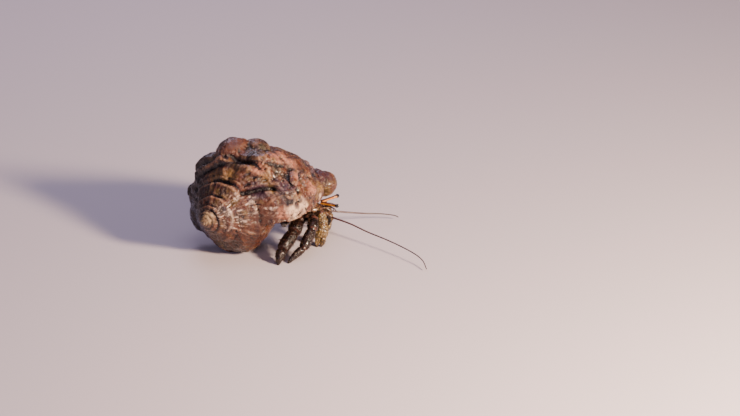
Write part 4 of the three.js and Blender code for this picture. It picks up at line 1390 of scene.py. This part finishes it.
skin_paint = Paint("soft_body_skin", Coat_Weight=0.4, Coat_Roughness=0.25)
p = skin_paint
horny = p.number("horny")
colour = p.mix(p.ramp(p.noise(1.6), 0.38, 0.62), (0.110, 0.050, 0.036), (0.250, 0.120, 0.080))
colour = p.veil(colour, (0.060, 0.028, 0.024), p.noise(0.5, 3.0), 0.58, 0.70, 0.6)
horn = p.mix(p.ramp(p.noise(0.8), 0.4, 0.6), (0.022, 0.014, 0.012), (0.075, 0.042, 0.036))
colour = p.mix(horny, colour, horn)
roughness = p.plus(p.ramp(p.noise(0.9), 0.3, 0.7, 0.3, 0.5), p.times(horny, -0.12))
p.finish(colour, roughness, p.noise(0.5, 5.0), 0.15)
print("paints:", [paint.material.name for paint in (shield_paint, skin_paint)])

# %% [markdown]
# ## Bristles
# Hermit crabs' limbs carry short stiff bristles in small tufts that lean towards the toe.
# A particle system would give curves, and the shared model needs meshes. So one
# three-sided bristle is modelled by hand, and copies of its points, turned and scaled,
# are stacked into one mesh for each group of limbs.

# %% Model one bristle
def model_bristle():
    clear_selection()
    bpy.ops.mesh.primitive_cone_add(vertices=3, radius1=1, radius2=0.7, depth=0.5,
                                    location=(0, 0, 0.25), end_fill_type="NGON")
    piece = bpy.context.object
    bpy.ops.object.mode_set(mode="EDIT")
    bpy.ops.mesh.select_mode(type="FACE")
    bpy.ops.mesh.select_all(action="DESELECT")
    bpy.ops.object.mode_set(mode="OBJECT")
    for face in piece.data.polygons:
        face.select = face.normal.z > 0.9
    bpy.ops.object.mode_set(mode="EDIT")
    bpy.ops.mesh.extrude_region_move(TRANSFORM_OT_translate={"value": (0, 0, 0.5)})
    bpy.ops.transform.resize(value=(0.12, 0.12, 1))
    bpy.ops.object.mode_set(mode="OBJECT")
    bpy.ops.object.transform_apply(location=True, rotation=False, scale=False)
    return piece


bristle = model_bristle()
print("one bristle:", count_triangles(bristle), "triangles")

# %% [markdown]
# ## Planting
# Each tuft is rooted at a random face of a plate, away from its joints. The bristles'
# map lays every tuft on the spot of its root, with one tile for each plate and the plate
# unrolled in it, so neighbours on a limb stay neighbours on the map.

# %% Choose the roots
BRISTLES = {
    # name: slot, tufts for each plate, bristles in a tuft, length, thickness (millimetres)
    "legs": ("leg", 34, 4, 1.00, 0.060),
    "claws": ("claw", 16, 3, 0.55, 0.055),
    "mouth": ("feeler", 26, 4, 0.90, 0.055),
}
BRISTLED = (0.08, 0.93)                      # of a plate's length


def root_places(piece, count, picker):
    """Random faces of a plate, larger ones more often, and the way that the plate points."""
    points = read_points(piece)
    along = read_number(piece, "along")
    heading = points[along > 0.7].mean(axis=0) - points[along < 0.3].mean(axis=0)
    heading /= np.linalg.norm(heading)
    faces = [face for face in piece.data.polygons
             if BRISTLED[0] < along[face.vertices[0]] < BRISTLED[1]]
    for face in picker.choices(faces, weights=[f.area for f in faces], k=count):
        yield np.array(face.center), np.array(face.normal), heading, along[face.vertices[0]]


print("tufts on each plate:", {group: numbers[1] for group, numbers in BRISTLES.items()})


# %% Stack turned and scaled copies
LEAN = 0.85                                  # towards the toe, for each unit outwards
SPREAD = 0.32                                # how far the bristles of a tuft stand apart
SAG = 0.16                                   # of the length, at the tip
ROOT_DEPTH = 0.08                            # of the length
SIDEWAYS = np.array((0.31, 0.67, 0.67))      # any direction that no limb points in
SIZES = (0.55, 1.15)                         # shortest and longest, of the group's length
TUFT_MAP_SIZE = 0.003
TILES = 5                                    # along each side of the map
TILE_EDGE = 0.03                             # kept free, of a tile


def plant_bristles(name, pieces, tufts, per_tuft, length, thickness):
    """One mesh of closed bristles, rooted on all the given pieces."""
    picker = random.Random(name)
    model = np.array([v.co for v in bristle.data.vertices])
    spots, on_map = [], []
    for tile, piece in enumerate(pieces):
        corner = np.array((tile % TILES, tile // TILES)) / TILES
        for root, out, heading, share in root_places(piece, tufts, picker):
            beside = np.cross(heading, SIDEWAYS)
            around = math.atan2(out @ np.cross(heading, beside), out @ beside) / math.tau + 0.5
            on_tile = TILE_EDGE + (1 - 2 * TILE_EDGE) * np.array((share, around))
            middle = corner + on_tile / TILES
            for _ in range(per_tuft):
                way = out + heading * LEAN + [picker.gauss(0, SPREAD) for _ in range(3)]
                way /= np.linalg.norm(way)
                across = np.cross(way, SIDEWAYS)
                across /= np.linalg.norm(across)
                size = length * picker.uniform(*SIZES)
                axes = np.array((across * thickness / 2,
                                 np.cross(way, across) * thickness / 2, way * size))
                sag = (SAG * size * model[:, 2] ** 2)[:, None] * (heading - 0.4 * out)
                spots.append((model - (0, 0, ROOT_DEPTH)) @ axes + sag + root)
                on_map.append(middle + (model[:, (0, 2)] - (0, 0.5)) * TUFT_MAP_SIZE / 2)
    faces = [[v + i * len(model) for v in face.vertices]
             for i in range(len(spots)) for face in bristle.data.polygons]
    mesh = bpy.data.meshes.new(name)
    mesh.from_pydata(np.concatenate(spots).tolist(), [], faces)
    corners = read_layer(mesh.loops, "vertex_index", 1, np.int32)[:, 0]
    flat_map = np.concatenate(on_map)[corners].astype(np.float32)
    mesh.uv_layers.new(name="OFBake").data.foreach_set("uv", flat_map.ravel())
    piece = add_object(name, mesh)
    keep_above_floor(piece)
    return piece


print("tiles on the map:", TILES ** 2)

# %% Plant the bristles
hairy = {
    "legs": list(legs.values()),
    "claws": list(claws.values()),
    "mouth": [feelers[f"{kind}_{side}"] for kind in ("antenna_base", "maxilliped")
              for side in ("right", "left")],
}
bristles = {group: plant_bristles(f"crab_bristles_{group}", hairy[group], *BRISTLES[group][1:])
            for group in BRISTLES}
pick_only(bristle)
bpy.ops.object.delete()
print("bristles:", {group: len(piece.data.polygons) for group, piece in bristles.items()})

# %% [markdown]
# ## Joint skin
# Soft skin joins one plate to the next and shows as a dark ring in the gap. A ball inside
# each joint fills the gap from every side, however the limb is bent.

# %% Fill the joints
MEMBRANE = 0.37                              # radius of a joint's soft skin, of its width

balls = []
for joints in LEGS.values():
    balls += [scaled_ball("joint", at, (LEG_WIDTHS[kind] * MEMBRANE,) * 3)
              for at, kind in zip(joints[1:], ("carpus", "propodus", "dactyl"))]
for _, knee, wrist, *_, size in CLAWS.values():
    balls += [scaled_ball("joint", at, (CLAW_WIDTHS["merus"] * size * MEMBRANE,) * 3)
              for at in (knee, wrist)]
membranes = join_pieces("crab_joint_membranes", balls)
print("joints filled:", len(balls))

# %% [markdown]
# ## The last paints
# Bristles are golden brown horn and need no coat. Joint skin is dark and wet. Then every
# piece that is still in millimetres is settled.

# %% Paint bristles and joint skin
bristle_paint = Paint("golden_bristle", Specular_IOR_Level=0.3)
p = bristle_paint
colour = p.mix(p.ramp(p.noise(0.8), 0.38, 0.62), (0.022, 0.011, 0.007), (0.110, 0.060, 0.028))
p.finish(colour, p.ramp(p.noise(0.5), 0.3, 0.7, 0.30, 0.50), p.noise(0.1), 0.01)

membrane_paint = Paint("soft_joint_skin", Coat_Weight=0.4, Coat_Roughness=0.12)
p = membrane_paint
colour = p.mix(p.ramp(p.noise(0.7), 0.4, 0.6), (0.020, 0.008, 0.006), (0.085, 0.028, 0.018))
p.finish(colour, p.ramp(p.noise(0.5), 0.3, 0.7, 0.20, 0.40), p.noise(0.3, 4.0), 0.08)
print("paints:", [paint.material.name for paint in (bristle_paint, membrane_paint)])

# %% Settle the limbs and the body
for node, piece in legs.items():
    settle(piece, "leg", leg_paint, node)
for node, piece in claws.items():
    settle(piece, "claw", claw_paint, node)
for node, piece in feelers.items():
    if node.startswith("maxilliped"):
        # the leg paint reads these two, and on a mouth part they draw no stripe
        keep_number(piece, "wide", np.ones(len(piece.data.vertices)))
        keep_number(piece, "deep", np.zeros(len(piece.data.vertices)))
        settle(piece, "leg", leg_paint, node)
    else:
        paint = shield_paint if node.startswith("antenna_base") else feeler_paint
        settle(piece, "feeler", paint, node)
for group, piece in bristles.items():
    settle(piece, BRISTLES[group][0], bristle_paint)
settle(membranes, "soft_skin", membrane_paint)
settle(shield, "carapace", shield_paint, "carapace")
settle(body, "soft_skin", skin_paint, "thorax", "abdomen", *HOLDING_LEGS)

# %% [markdown]
